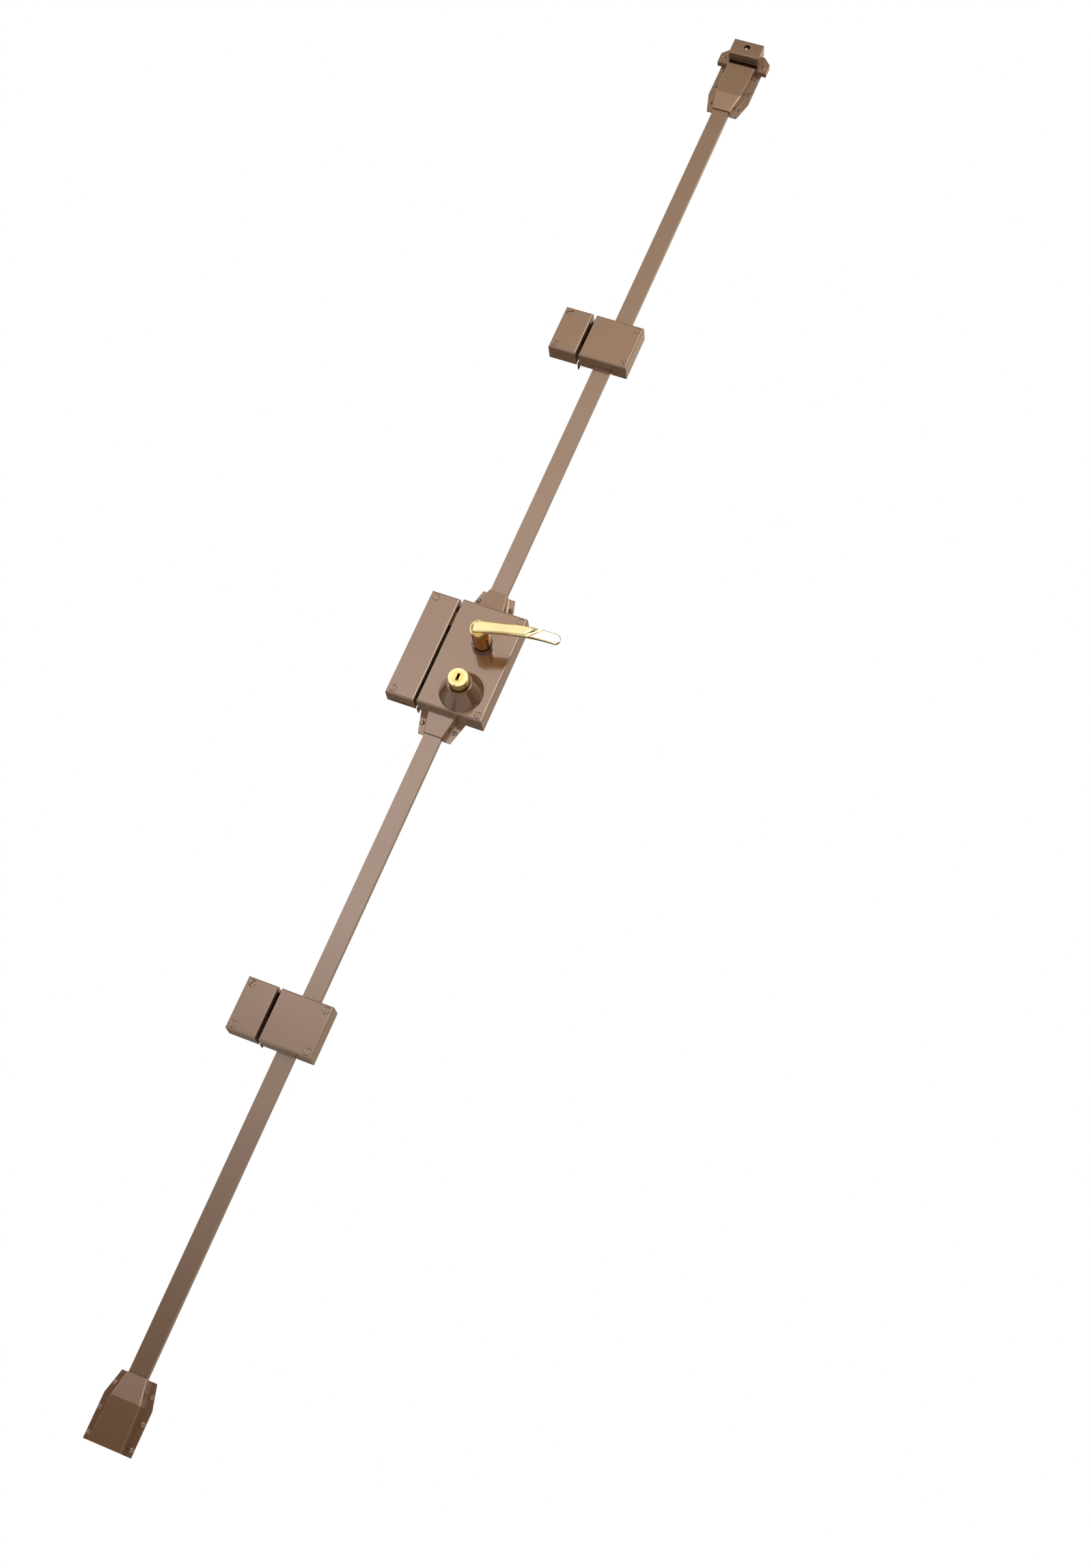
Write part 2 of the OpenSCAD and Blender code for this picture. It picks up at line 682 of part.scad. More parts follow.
// Flat bolt with a nose and a slotted tail that a pin on the rod drives.
// The pin rests at [pin_x, pin_z] and moves by the throw along Z in direction dir.
// The tail is as narrow as the window up to a shoulder that stops short of the cover's wall.
module driven_bolt(z1, z2, tail_z1, tail_z2, pin_x, pin_z, dir) {
    tail_x2 = pin_x + throw + pin_r + 4;
    shoulder_x = lock_x + shell_t + throw + 0.7;
    slot_r = pin_r + slot_gap;
    run = throw * sqrt(2);
    color(steel) difference() {
        union() {
            block(lock_x - bolt_proud, nose_right, nose_back, tail_front, z1, z2);
            block(nose_right - cut, tail_x2, tail_back, tail_front,
                max(z1, tail_z1), min(z2, tail_z2));
            block(shoulder_x, tail_x2, tail_back, tail_front, tail_z1, tail_z2);
        }
        translate([pin_x, -tail_back + cut, pin_z]) rotate([0, -45 * dir, 0]) {
            rotate([90, 0, 0]) cylinder(h = 3.5 + 2 * cut, r = slot_r);
            translate([run, 0, 0]) rotate([90, 0, 0]) cylinder(h = 3.5 + 2 * cut, r = slot_r);
            translate([0, -3.5 - 2 * cut, -slot_r]) cube([run, 3.5 + 2 * cut, 2 * slot_r]);
        }
        for (s = [-1, 1])
            translate([lock_x - bolt_proud, s > 0 ? -nose_back : -tail_front, z1 - cut])
                rotate([0, 0, 45]) translate([-1, -1, 0]) cube([2, 2, z2 - z1 + 2 * cut]);
    }
}

// Drive pin on a rod or rack
module drive_pin(x, z) {
    post(x, z, rod_front - 0.5, tail_front - 0.3, pin_r);
}

rack_mid = axis_x - pitch_r;            // pitch line of the lower rack
centre_pin_x = rack_mid - tooth_root - rack_w / 2;
centre_pin_z = dead_z2 - 6;

module centre_deadbolt() {
    driven_bolt(dead_z1, dead_z2, dead_z1 + 5, dead_z2, centre_pin_x, centre_pin_z, -1);
}

module box_bolt(z, dir) {
    driven_bolt(z + box_bolt_z1, z + box_bolt_z2, z - box_tail_h / 2, z + box_tail_h / 2,
        0, z - dir * throw / 2, dir);
}

module upper_box_bolt() {
    box_bolt(upper_box_z, 1);
}

module lower_box_bolt() {
    box_bolt(lower_box_z, -1);
}

// Rods and racks

joint_z = case_h / 2 - shell_t - throw - 2;     // top of the upper rack's bridge
joint_h = 10;                                   // height of a half-lap joint
lap = rod_t / 2;                                // depth of a half-lap joint
lower_rod_top = -case_h / 2 + 6;
end_bolt_half = channel_bend - guide_t - 2.5;   // half width of the bolts at the rods' ends
end_bolt_len = guide_len - guide_taper - 5;

// Flat rod with a half-lap joint at each end, its front half cut away there
module flat_rod(z1, z2) {
    difference() {
        block(-rod_w / 2, rod_w / 2, rod_back, rod_front, z1, z2);
        for (z = [z1 - cut, z2 - joint_h])
            block(-rod_w / 2 - cut, rod_w / 2 + cut, rod_back + lap, rod_front + cut,
                z, z + joint_h + cut);
    }
}

// Front half of a joint, laid on a rod's cut-away end
module joint_tongue(z) {
    block(-rod_w / 2, rod_w / 2, rod_back + lap + 0.02, rod_front, z, z + joint_h);
}

module upper_rod() {
    color(brown) {
        flat_rod(joint_z - joint_h, top_guide_end - end_bolt_len + joint_h);
        drive_pin(0, upper_box_z - throw / 2);
    }
}

module upper_rack() {
    x2 = axis_x + pitch_r + tooth_root + rack_w;
    z1 = cylinder_z - throw - rack_reach;
    teeth = ceil((throw + rack_reach) / (PI * gear_module));
    color(steel) {
        translate([axis_x + pitch_r, 0, cylinder_z]) mirror([1, 0, 0])
            rack_bar(z1 - cylinder_z, joint_z - cylinder_z, -teeth, 1);
        joint_tongue(joint_z - joint_h);
        block(rod_w / 2 + slide_gap, x2, rod_back, rod_front, joint_z - joint_h, joint_z);
        block(rod_w / 2 - cut, rod_w / 2 + slide_gap + cut, rod_back + lap + 0.02, rod_front,
            joint_z - joint_h, joint_z);
    }
}

// Bolt at a rod's end, drawn upwards from z with its lap joint at the bottom
module end_bolt(z) {
    edge = 2;
    color(steel) difference() {
        block(-end_bolt_half, end_bolt_half, rod_back, rod_front, z, z + end_bolt_len);
        block(-rod_w / 2 - slide_gap, rod_w / 2 + slide_gap, 0, rod_back + lap + 0.02,
            z - cut, z + joint_h + 0.2);
        for (y = [rod_back, rod_front])
            translate([0, -y, z + end_bolt_len]) rotate([45, 0, 0])
                cube([2 * end_bolt_half + 2 * cut, edge, edge], center = true);
    }
}

module upper_end_bolt() {
    end_bolt(top_guide_end - end_bolt_len);
}

module lower_rod() {
    color(brown) {
        flat_rod(bottom_guide_end + end_bolt_len - joint_h, lower_rod_top);
        drive_pin(0, lower_box_z + throw / 2);
    }
}

module lower_rack() {
    teeth = ceil((throw + rack_reach) / (PI * gear_module));
    color(steel) {
        translate([rack_mid, 0, cylinder_z])
            rack_bar(lower_rod_top + 0.2 - cylinder_z, centre_pin_z + pin_r + 2 - cylinder_z,
                -2, teeth - 1);
        joint_tongue(lower_rod_top - joint_h);
        block(rack_mid - tooth_root - rack_w, rack_mid - tooth_root, rod_back + lap + 0.02,
            rod_front, lower_rod_top - cut, lower_rod_top + cut);
        drive_pin(centre_pin_x, centre_pin_z);
    }
}

module lower_end_bolt() {
    translate([0, 0, bottom_guide_end + end_bolt_len]) mirror([0, 0, 1]) end_bolt(0);
}

// Guides

// Half widths of a guide's outline at its narrow end, bend and wide end, as a closed outline
function guide_plan(narrow, bend, wide, length) = [
    [-narrow, 0], [narrow, 0], [bend, guide_taper], [wide, length], [-wide, length],
    [-bend, guide_taper]];

// Raised channel with rounded pressed edges, drawn from its narrow end up along Z.
// Each section is [half width, z, height, edge radius, draft].
module channel_form(length) {
    wide = length > guide_len / 2 ? channel_wide : channel_bend;
    sections = [[channel_narrow, 0, channel_low, 1.2, 0.5],
        [channel_bend, guide_taper, channel_d, 2, 1.2],
        [wide, length - 0.02, channel_d, 2, 1.2]];
    hull()
        for (p = sections) for (s = [-1, 1]) {
            translate([s * (p[0] - p[3] - p[4]), -(p[2] - p[3]), p[1]])
                cylinder(h = 0.02, r = p[3], $fn = 24);
            translate([s * p[0] - (s > 0 ? 0.2 : 0), -0.2, p[1]]) cube([0.2, 0.2, 0.02]);
        }
}

// Clear space inside a channel: the rod's width at the narrow end, flaring to the bend
module channel_space(length) {
    narrow = rod_w / 2 + slide_gap - 0.1;
    bend = channel_bend - guide_t - 2;
    wide = (length > guide_len / 2 ? channel_wide : channel_bend) - guide_t - 2;
    intersection() {
        out_of_door(-cut) linear_extrude(channel_d + cut) polygon([[-narrow, -cut], [narrow, -cut],
            [narrow, 2], [bend, guide_taper], [wide, length + cut],
            [-wide, length + cut], [-bend, guide_taper], [-narrow, 2]]);
        translate([-flange_wide, 0, 0]) rotate([90, 0, 90]) linear_extrude(2 * flange_wide)
            polygon([[cut, -cut], [-(rod_front + slide_gap), -cut], [-(rod_front + slide_gap), 2],
                [-(channel_d - guide_t), guide_taper], [-(channel_d - guide_t), length + cut],
                [cut, length + cut]]);
    }
}

// Pressed guide lying on the door, with its narrow end at Z = 0
module pressed_guide(length, screws) {
    plan = guide_plan(flange_narrow, flange_wide, flange_wide, length);
    difference() {
        union() {
            out_of_door() linear_extrude(guide_t) polygon(plan);
            channel_form(length);
        }
        channel_space(length);
        for (p = screws)
            post(p[0], p[1], -cut, guide_t + cut, wood_dia / 2 + screw_gap);
    }
}

// Screw places on one guide, [x, z, slot angle], from its narrow end
function edge_x(z) = z < guide_taper
    ? flange_narrow + (flange_wide - flange_narrow) * z / guide_taper : flange_wide;
function guide_screws(heights) = [for (z = heights) for (s = [-1, 1])
    [s * (edge_x(z) - guide_screw_in), z, 40 * s + 25 * z]];
case_guide_screws = guide_screws([15]);
end_guide_screws = guide_screws([15, 45, 74]);

module place_guide(z, up) {
    if (up) translate([0, 0, z]) children();
    else translate([0, 0, z]) mirror([0, 0, 1]) children();
}

// The case guides taper away from the case, so they are the taper alone, turned round
module upper_case_guide() {
    color(brown) place_guide(case_guide_end, false) pressed_guide(case_guide_len, case_guide_screws);
}

module lower_case_guide() {
    color(brown) place_guide(-case_guide_end, true) pressed_guide(case_guide_len, case_guide_screws);
}

module top_guide() {
    color(brown) place_guide(top_guide_z, true) pressed_guide(guide_len, end_guide_screws);
}

module bottom_guide() {
    color(brown) place_guide(-bottom_guide_drop, false) pressed_guide(guide_len, end_guide_screws);
}

module guide_wood_screws(screws) {
    for (p = screws)
        wood_screw(p[0], p[1], guide_t, p[2]);
}

module upper_case_guide_screws() {
    color(brown) place_guide(case_guide_end, false) guide_wood_screws(case_guide_screws);
}

module lower_case_guide_screws() {
    color(brown) place_guide(-case_guide_end, true) guide_wood_screws(case_guide_screws);
}

module top_guide_screws() {
    color(brown) place_guide(top_guide_z, true) guide_wood_screws(end_guide_screws);
}

module bottom_guide_screws() {
    color(brown) place_guide(-bottom_guide_drop, false) guide_wood_screws(end_guide_screws);
}

// Top keeper

ear_drop = 7;                           // how far the ears reach below the box
ear_screw_x = top_keeper_w / 2 + 8.5;
ear_screw_z = top_keeper_z + 3;
keeper_mouth = rod_front + 1;
sight_r = 4.5;                          // hole in the front of the top keeper
sight_x = 0.6;
sight_z = top_keeper_z + 15;
inner_screw_x = sight_x - 1.6;          // the hidden screw sits a little off the hole's centre
inner_screw_z = sight_z - 1.2;
strap_d = 21.3;                         // front of the strap that the hidden screw holds
back_t = 1.5;                           // wall behind the bolt

// Outline of one ear, drawn on the +X side; inset moves its outer edges inwards
function ear_plan(inset) = let (x1 = top_keeper_w / 2, x2 = x1 + ear_w - inset,
        z1 = top_keeper_z - ear_drop + inset, z2 = top_keeper_z + 20 - inset)
    [[x1 - cut, z1], [x2, z1], [x2, z2 - ear_w + 4 + inset * 0.4], [x1 + 4 - inset * 0.6, z2],
        [x1 - cut, z2]];

module top_keeper() {
    x = top_keeper_w / 2;
    z1 = top_keeper_z;
    z2 = top_keeper_z + top_keeper_h;
    color(brown) difference() {
        union() {
            difference() {
                union() {
                    folded_block(-x, x, top_keeper_d, z1, z2, fold_r);
                    for (s = [-1, 1])
                        scale([s, 1, 1]) out_of_door() linear_extrude(ear_d) polygon(ear_plan(0));
                }
                translate([0, cut, 0])
                    folded_block(-x + shell_t, x - shell_t, top_keeper_d - shell_t + cut,
                        z1 + shell_t, z2 - shell_t, 0.8);
                for (s = [-1, 1])
                    scale([s, 1, 1]) out_of_door(-cut) linear_extrude(ear_d - shell_t + cut)
                        difference() {
                            polygon(ear_plan(shell_t));
                            square([x, 2 * z2]);
                        }
            }
            block(-x + 1, x - 1, strap_d - shell_t, strap_d, sight_z - 6, sight_z + 6);
            block(-x + 0.5, x - 0.5, 0, back_t, z1 - ear_drop, z2 - 1);
        }
        block(-x + shell_t, x - shell_t, back_t, keeper_mouth, z1 - ear_drop - cut,
            z1 + shell_t + cut);
        post(sight_x, sight_z, top_keeper_d - shell_t - cut, top_keeper_d + cut, sight_r);
        post(inner_screw_x, inner_screw_z, -cut, strap_d + cut, wood_dia / 2 + screw_gap);
        for (s = [-1, 1])
            post(s * ear_screw_x, ear_screw_z, -cut, ear_d + cut, wood_dia / 2 + screw_gap);
    }
}

module top_keeper_screws() {
    color(brown) for (s = [-1, 1])
        wood_screw(s * ear_screw_x, ear_screw_z, ear_d, 30 * s);
}

module top_keeper_centre_screw() {
    color(steel) wood_screw(inner_screw_x, inner_screw_z, strap_d, 20);
}

// Keepers beside the locks

module keeper_cover_solid(d, z1, z2, windows, gap, screw_x, screw_z) {
    mid = (z1 + z2) / 2;
    difference() {
        folded_cover(keeper_x1, keeper_x2, d, z1, z2);
        for (w = windows)
            block(keeper_x2 - shell_t - cut, keeper_x2 + cut, nose_back - 1, tail_front + 1,
                w[0] - gap, w[1] + gap);
        for (s = [-1, 1])
            cover_screw_hole(screw_x, mid + s * screw_z, d);
    }
}

module keeper_plate_solid(d, z1, z2, screw_x, screw_z, fix_z) {
    inset = shell_t + seat_gap;
    mid = (z1 + z2) / 2;
    color(black) difference() {
        union() {
            block(keeper_x1 + inset, keeper_x2 - inset, 0, plate_t, z1 + inset, z2 - inset);
            for (s = [-1, 1])
                pillar(screw_x, mid + s * screw_z, d);
        }
        for (s = [-1, 1])
            fixing_hole(keeper_fix_x, mid + s * fix_z);
    }
}

keeper_fix_x = keeper_x1 + 16;

module centre_keeper_cover() {
    h = case_h / 2;
    slot_x = keeper_x1 + 7.8;
    slot_len = keeper_w - 16;
    color(brown) difference() {
        keeper_cover_solid(centre_keeper_d, -h, h, [[latch_z1, latch_z2], [dead_z1, dead_z2]],
            centre_window_gap, centre_keeper_screw_x, case_screw_z - 1);
        block(slot_x, slot_x + slot_len, 3.7, 6.2, -h - cut, -h + shell_t + cut);
    }
}

module centre_keeper_plate() {
    keeper_plate_solid(centre_keeper_d, -case_h / 2, case_h / 2, centre_keeper_screw_x,
        case_screw_z - 1, case_h / 2 - 26.5);
}

module centre_keeper_screws() {
    color(brown) {
        cover_screw(centre_keeper_screw_x, case_screw_z - 1, centre_keeper_d, -12);
        cover_screw(centre_keeper_screw_x, 1 - case_screw_z, centre_keeper_d, 4);
    }
}

// Intermediate boxes and their keepers, each placed by the height of its centre

module box_cover_solid(z) {
    h = box_h / 2;
    color(brown) difference() {
        folded_cover(lock_x, box_x2, box_d, z - h, z + h);
        for (s = [-1, 1])
            cover_screw_hole(box_screw_x, z + s * box_screw_z, box_d);
        bolt_window(z + box_bolt_z1, z + box_bolt_z2);
        rod_notch(z - h);
        rod_notch(z + h - shell_t);
        lip_pass(z - h, z + h);
    }
}

module box_plate_solid(z) {
    h = box_h / 2;
    fix_x = rod_w / 2 + 6;
    color(black) difference() {
        union() {
            lock_plate(box_x2, z - h, z + h);
            for (s = [-1, 1])
                pillar(box_screw_x, z + s * box_screw_z, box_d);
        }
        for (s = [-1, 1])
            fixing_hole(fix_x, z + s * (box_h / 2 - 8));
        fixing_hole(-fix_x - 4, z - box_h / 2 + 10);
    }
}

module box_screws_solid(z, turns) {
    color(brown) for (i = [0, 1])
        cover_screw(box_screw_x, z + (2 * i - 1) * box_screw_z, box_d, turns[i]);
}

module box_keeper_cover(z) {
    color(brown) keeper_cover_solid(box_d, z - box_h / 2, z + box_h / 2,
        [[z + box_bolt_z1, z + box_bolt_z2]], box_window_gap, keeper_screw_x, box_screw_z);
}

module box_keeper_plate(z) {
    keeper_plate_solid(box_d, z - box_h / 2, z + box_h / 2, keeper_screw_x, box_screw_z,
        box_h / 2 - 16);
}

module box_keeper_screws(z, turns) {
    color(brown) for (i = [0, 1])
        cover_screw(keeper_screw_x, z + (2 * i - 1) * box_screw_z, box_d, turns[i]);
}

module upper_box_cover() { box_cover_solid(upper_box_z); }
module upper_box_plate() { box_plate_solid(upper_box_z); }
module upper_box_screws() { box_screws_solid(upper_box_z, [-50, -5]); }
module upper_keeper_cover() { box_keeper_cover(upper_box_z); }
module upper_keeper_plate() { box_keeper_plate(upper_box_z); }
module upper_keeper_screws() { box_keeper_screws(upper_box_z, [10, 62]); }
module lower_box_cover() { box_cover_solid(lower_box_z); }
module lower_box_plate() { box_plate_solid(lower_box_z); }
module lower_box_screws() { box_screws_solid(lower_box_z, [-8, -3]); }
module lower_keeper_cover() { box_keeper_cover(lower_box_z); }
module lower_keeper_plate() { box_keeper_plate(lower_box_z); }
module lower_keeper_screws() { box_keeper_screws(lower_box_z, [-6, 24]); }

case_cover();
case_back_plate();
case_cover_screws();
cylinder_guard();
cylinder_body();
cylinder_plug();
keyway_shutter();
drive_pinion();
handle_collar();
lever_handle();
handle_spindle();
follower();
latch_bolt();
latch_spring();
centre_deadbolt();
upper_rod();
upper_rack();
upper_end_bolt();
lower_rod();
lower_rack();
lower_end_bolt();
upper_case_guide();
upper_case_guide_screws();
lower_case_guide();
lower_case_guide_screws();
top_guide();
top_guide_screws();
bottom_guide();
bottom_guide_screws();
top_keeper();
top_keeper_screws();
top_keeper_centre_screw();
centre_keeper_cover();
centre_keeper_plate();
centre_keeper_screws();
upper_box_cover();
upper_box_plate();
upper_box_screws();
upper_box_bolt();
upper_keeper_cover();
upper_keeper_plate();
upper_keeper_screws();
lower_box_cover();
lower_box_plate();
lower_box_screws();
lower_box_bolt();
lower_keeper_cover();
lower_keeper_plate();
lower_keeper_screws();
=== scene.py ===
# %% [markdown]
# # A multipoint door lock in bronze-brown paint
# The lock is screwed to the inside of a door: a case in the middle, two boxes and two end guides
# on long flat rods, and keepers on the frame beside them. The metalwork is already modelled to
# size. This lesson gives it its finishes, rolls the lever's edges, adds a round coil spring and
# screws with real threads, and sets up the light and the camera.

# %% Load the lock
import json
import math

import bpy
import bmesh
from mathutils import Matrix, Vector


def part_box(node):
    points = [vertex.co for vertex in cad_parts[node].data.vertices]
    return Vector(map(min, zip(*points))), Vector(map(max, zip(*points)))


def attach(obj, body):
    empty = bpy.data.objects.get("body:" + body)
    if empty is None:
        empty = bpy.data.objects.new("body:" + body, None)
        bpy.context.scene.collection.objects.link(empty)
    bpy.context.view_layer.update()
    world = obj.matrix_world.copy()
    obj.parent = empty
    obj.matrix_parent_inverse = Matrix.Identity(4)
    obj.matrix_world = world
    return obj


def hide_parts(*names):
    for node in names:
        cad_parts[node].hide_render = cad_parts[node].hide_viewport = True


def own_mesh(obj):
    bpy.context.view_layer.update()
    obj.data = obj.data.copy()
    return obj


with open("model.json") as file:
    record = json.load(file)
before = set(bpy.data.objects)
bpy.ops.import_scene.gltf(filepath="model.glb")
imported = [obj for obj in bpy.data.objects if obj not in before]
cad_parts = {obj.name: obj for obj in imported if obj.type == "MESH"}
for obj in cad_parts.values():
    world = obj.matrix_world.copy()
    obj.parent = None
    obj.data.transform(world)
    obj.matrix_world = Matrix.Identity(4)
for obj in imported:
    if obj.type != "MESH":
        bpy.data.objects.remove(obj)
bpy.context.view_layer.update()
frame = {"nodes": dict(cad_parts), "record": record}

# %% [markdown]
# Shader maths reads best as plain sums. This small class wraps one socket of a material's tree.
# An operator on it adds the Math node for that operator, so `1 - mask * 0.3` is written as it is
# thought. Every other node comes from `add`, which sets the node's own settings first and then
# fills or links its inputs.

# %% A socket that understands arithmetic
class Strand:
    def __init__(self, tree, socket):
        self.tree = tree
        self.socket = socket

    def math(self, operation, other=None):
        node = self.tree.nodes.new("ShaderNodeMath")
        node.operation = operation
        plug(self.tree, node.inputs[0], self)
        if other is not None:
            plug(self.tree, node.inputs[1], other)
        return Strand(self.tree, node.outputs[0])

    def __add__(self, other):
        return self.math("ADD", other)

    def __mul__(self, other):
        return self.math("MULTIPLY", other)

    def __sub__(self, other):
        return self.math("SUBTRACT", other)

    def __rsub__(self, other):
        return (self * -1.0) + other

    __radd__ = __add__
    __rmul__ = __mul__

    def clamped(self):
        return self.math("MINIMUM", 1.0).math("MAXIMUM", 0.0)


def plug(tree, target, value):
    if isinstance(value, Strand):
        tree.links.new(value.socket, target)
    else:
        target.default_value = value


class Bench:
    """A node tree and one way to add nodes to it."""

    def __init__(self, tree):
        self.tree = tree

    def add(self, kind, settings=None, output=0, **inputs):
        node = self.tree.nodes.new(kind)
        for key, value in (settings or {}).items():
            setattr(node, key, value)
        for key, value in inputs.items():
            plug(self.tree, node.inputs[key.replace("_", " ")], value)
        return Strand(self.tree, node.outputs[output])

    def place(self):
        return self.add("ShaderNodeTexCoord", output=3)

    def noise(self, scale, detail=3.0, roughness=0.5, at=None):
        return self.add("ShaderNodeTexNoise", Vector=at or self.place(), Scale=scale,
                        Detail=detail, Roughness=roughness)

    def ramp(self, value, stops):
        node = self.tree.nodes.new("ShaderNodeValToRGB")
        while len(node.color_ramp.elements) < len(stops):
            node.color_ramp.elements.new(0.5)
        for element, (position, colour) in zip(node.color_ramp.elements, stops):
            element.position = position
            element.color = (*colour, 1.0)
        plug(self.tree, node.inputs[0], value)
        return Strand(self.tree, node.outputs[0])

    def split(self, vector):
        node = self.tree.nodes.new("ShaderNodeSeparateXYZ")
        plug(self.tree, node.inputs[0], vector)
        return [Strand(self.tree, output) for output in node.outputs]


class Recipe(Bench):
    """One material: its tree and its Principled shader."""

    def __init__(self, name):
        self.material = bpy.data.materials.new(name)
        self.material.use_nodes = True
        super().__init__(self.material.node_tree)
        self.shader = self.tree.nodes["Principled BSDF"]

    def bump(self, height, distance, strength):
        return self.add("ShaderNodeBump", Height=height, Distance=distance, Strength=strength)

    def finish(self, **sockets):
        for key, value in sockets.items():
            plug(self.tree, self.shader.inputs[key.replace("_", " ")], value)
        print("finish", self.material.name, "uses", len(self.tree.nodes), "nodes")
        return self.material

# %% [markdown]
# The covers, guides and rods are steel sheet and bar under a glossy bronze-brown paint with a
# little metal flake in it. Sprayed paint is never quite flat, so two noises, 2 and 4 mm across,
# give it orange peel, and a slow one shifts its tone by a few per cent. A clear coat over a
# rougher base gives the sharp highlight along the folded edges. The rods are a little greyer than
# the covers, and the ring round the lever's neck is a darker brown. The screw heads take a lighter
# copy of the paint, as painted light, and the cone guard a darker copy, as painted shade.

# %% Bronze-brown paint
PEEL_DEPTH = 0.000018


def linear(red, green, blue):
    """A colour picked from a screen, 0 to 255, in the linear values that a shader takes."""
    return tuple(((c / 255 + 0.055) / 1.055) ** 2.4 if c > 10 else c / 3294 for c in (red, green, blue))


def tones(base, darker, lighter):
    """Two shades of one colour, for the ends of a ramp."""
    return tuple(c * darker for c in base), tuple(min(1.0, c * lighter) for c in base)


def bronze_paint(name, red, green, blue, rough=0.20, peel=1.0, metal=0.45, coat=1.0, coat_ior=1.9):
    paint = Recipe(name)
    slow = paint.noise(9.0, 2.0)
    flake = paint.noise(5200.0, 1.0)
    peel_noise = paint.noise(620.0, 2.0) * 0.25 + paint.noise(260.0, 1.0) * 0.75
    shadow, light = tones(linear(red, green, blue), 0.95, 1.05)
    colour = paint.ramp(slow * 0.92 + flake * 0.08, [(0.25, shadow), (0.75, light)])
    return paint.finish(
        Base_Color=colour,
        Metallic=metal,
        Roughness=rough + (flake - 0.5) * 0.04,
        Coat_Weight=coat,
        Coat_Roughness=0.02,
        Coat_IOR=coat_ior,
        Normal=paint.bump(peel_noise, PEEL_DEPTH * peel, 0.5),
    )


brown = bronze_paint("bronze_brown_paint", 140, 102, 72)
rod_brown = bronze_paint("rod_paint", 138, 104, 78, rough=0.24, peel=1.2)
# The screw heads take a lighter copy of the same paint: painted light.
lit_screw_brown = bronze_paint("screw_paint", 146, 108, 80, rough=0.18, peel=0.6)
# The cone guard takes a darker copy of the paint: painted shade for the shade on the cone.
shaded_guard_brown = bronze_paint("guard_paint", 120, 84, 57, rough=0.18, peel=0.6, coat_ior=1.5)
collar_brown = bronze_paint("collar_paint", 92, 58, 44, rough=0.26, peel=0.4, coat_ior=1.6)

# %% [markdown]
# The cylinder and the lever are brass. The lever is buffed to a mirror and only shows faint
# buffing marks. Its neck is coloured a darker amber, which is painted shade and a painted
# reflection of the brown case. The cylinder's front is turned on a lathe, so its marks are rings
# about its own axis. Both patterns come from the place on the object, so they stay put from every
# side. The lever's ramp holds two pairs of shades, and a mask of the depth moves from the buffed
# pair to the darker amber pair that paints the neck's shade.

# %% Brass
NECK_SHADE_FRONT = -0.0705
NECK_SHADE_FADE = 160.0


# The darker amber on the neck is painted shade and a painted reflection of the brown case.
def polished_brass(name, buffed, neck_shade_colour, rough):
    brass = Recipe(name)
    slow = brass.noise(35.0, 3.0)
    fine = brass.noise(900.0, 2.0)
    depth = brass.split(brass.place())[1]
    neck_shade = ((depth - NECK_SHADE_FRONT) * NECK_SHADE_FADE).clamped()
    dull, bright = tones(linear(*buffed), 0.93, 1.04)
    deep, clear = tones(linear(*neck_shade_colour), 0.93, 1.04)
    colour = brass.ramp((slow - 0.5) * 0.30 + 0.20 + neck_shade * 0.60,
                        [(0.14, dull), (0.26, bright), (0.74, deep), (0.86, clear)])
    return brass.finish(
        Base_Color=colour,
        Metallic=1.0,
        Roughness=rough + (fine - 0.5) * 0.05,
        Normal=brass.bump(slow, 0.00002, 0.25),
    )


def turned_brass(name, centre_x, centre_z, red, green, blue, rough, pitch):
    brass = Recipe(name)
    x, _, z = brass.split(brass.place())
    across = x - centre_x
    up = z - centre_z
    radius = (across * across + up * up).math("SQRT")
    rings = (radius * (2 * math.pi / pitch)).math("SINE")
    waver = brass.noise(140.0, 2.0)
    dull, bright = tones(linear(red, green, blue), 0.92, 1.05)
    colour = brass.ramp(waver, [(0.3, dull), (0.7, bright)])
    return brass.finish(
        Base_Color=colour,
        Metallic=1.0,
        Roughness=rough + (waver - 0.5) * 0.08,
        Normal=brass.bump(rings * 0.5 + waver, 0.000012, 0.5),
    )


axis_x = 0.015
cylinder_z = -0.046
# The lever's second colour is the neck's painted shade.
lever_brass = polished_brass("buffed_brass", (247, 221, 165), (196, 144, 66), 0.10)
body_brass = turned_brass("turned_brass", axis_x, cylinder_z, 232, 208, 150, 0.24, 0.00028)
plug_brass = turned_brass("plug_brass", axis_x, cylinder_z, 222, 192, 122, 0.28, 0.00022)

# %% [markdown]
# The side bolts are bare steel with a grain drawn along X, the way they slide, and the racks'
# grain runs along Z. The latch is bronzed and the top keeper's inner screw is zinc plated. The
# keyway's pale steel shutter is made near white and mostly non-metal, a painted highlight that
# keeps it bright in its shaded slot. The back plates are stamped from black-finished sheet, and
# where they show in the gap between keeper and case their black is also painted shade.

# %% Steel and black sheet
def drawn_steel(name, red, green, blue, rough, along, metal=1.0):
    steel = Recipe(name)
    stretch = steel.add("ShaderNodeMapping", Vector=steel.place(), Scale=along)
    grain = steel.noise(60.0, 4.0, 0.6, at=stretch)
    dull, bright = tones(linear(red, green, blue), 0.85, 1.08)
    colour = steel.ramp(grain, [(0.3, dull), (0.7, bright)])
    return steel.finish(
        Base_Color=colour,
        Metallic=metal,
        Roughness=rough + (grain - 0.5) * 0.15,
        Normal=steel.bump(grain, 0.00002, 0.4),
    )


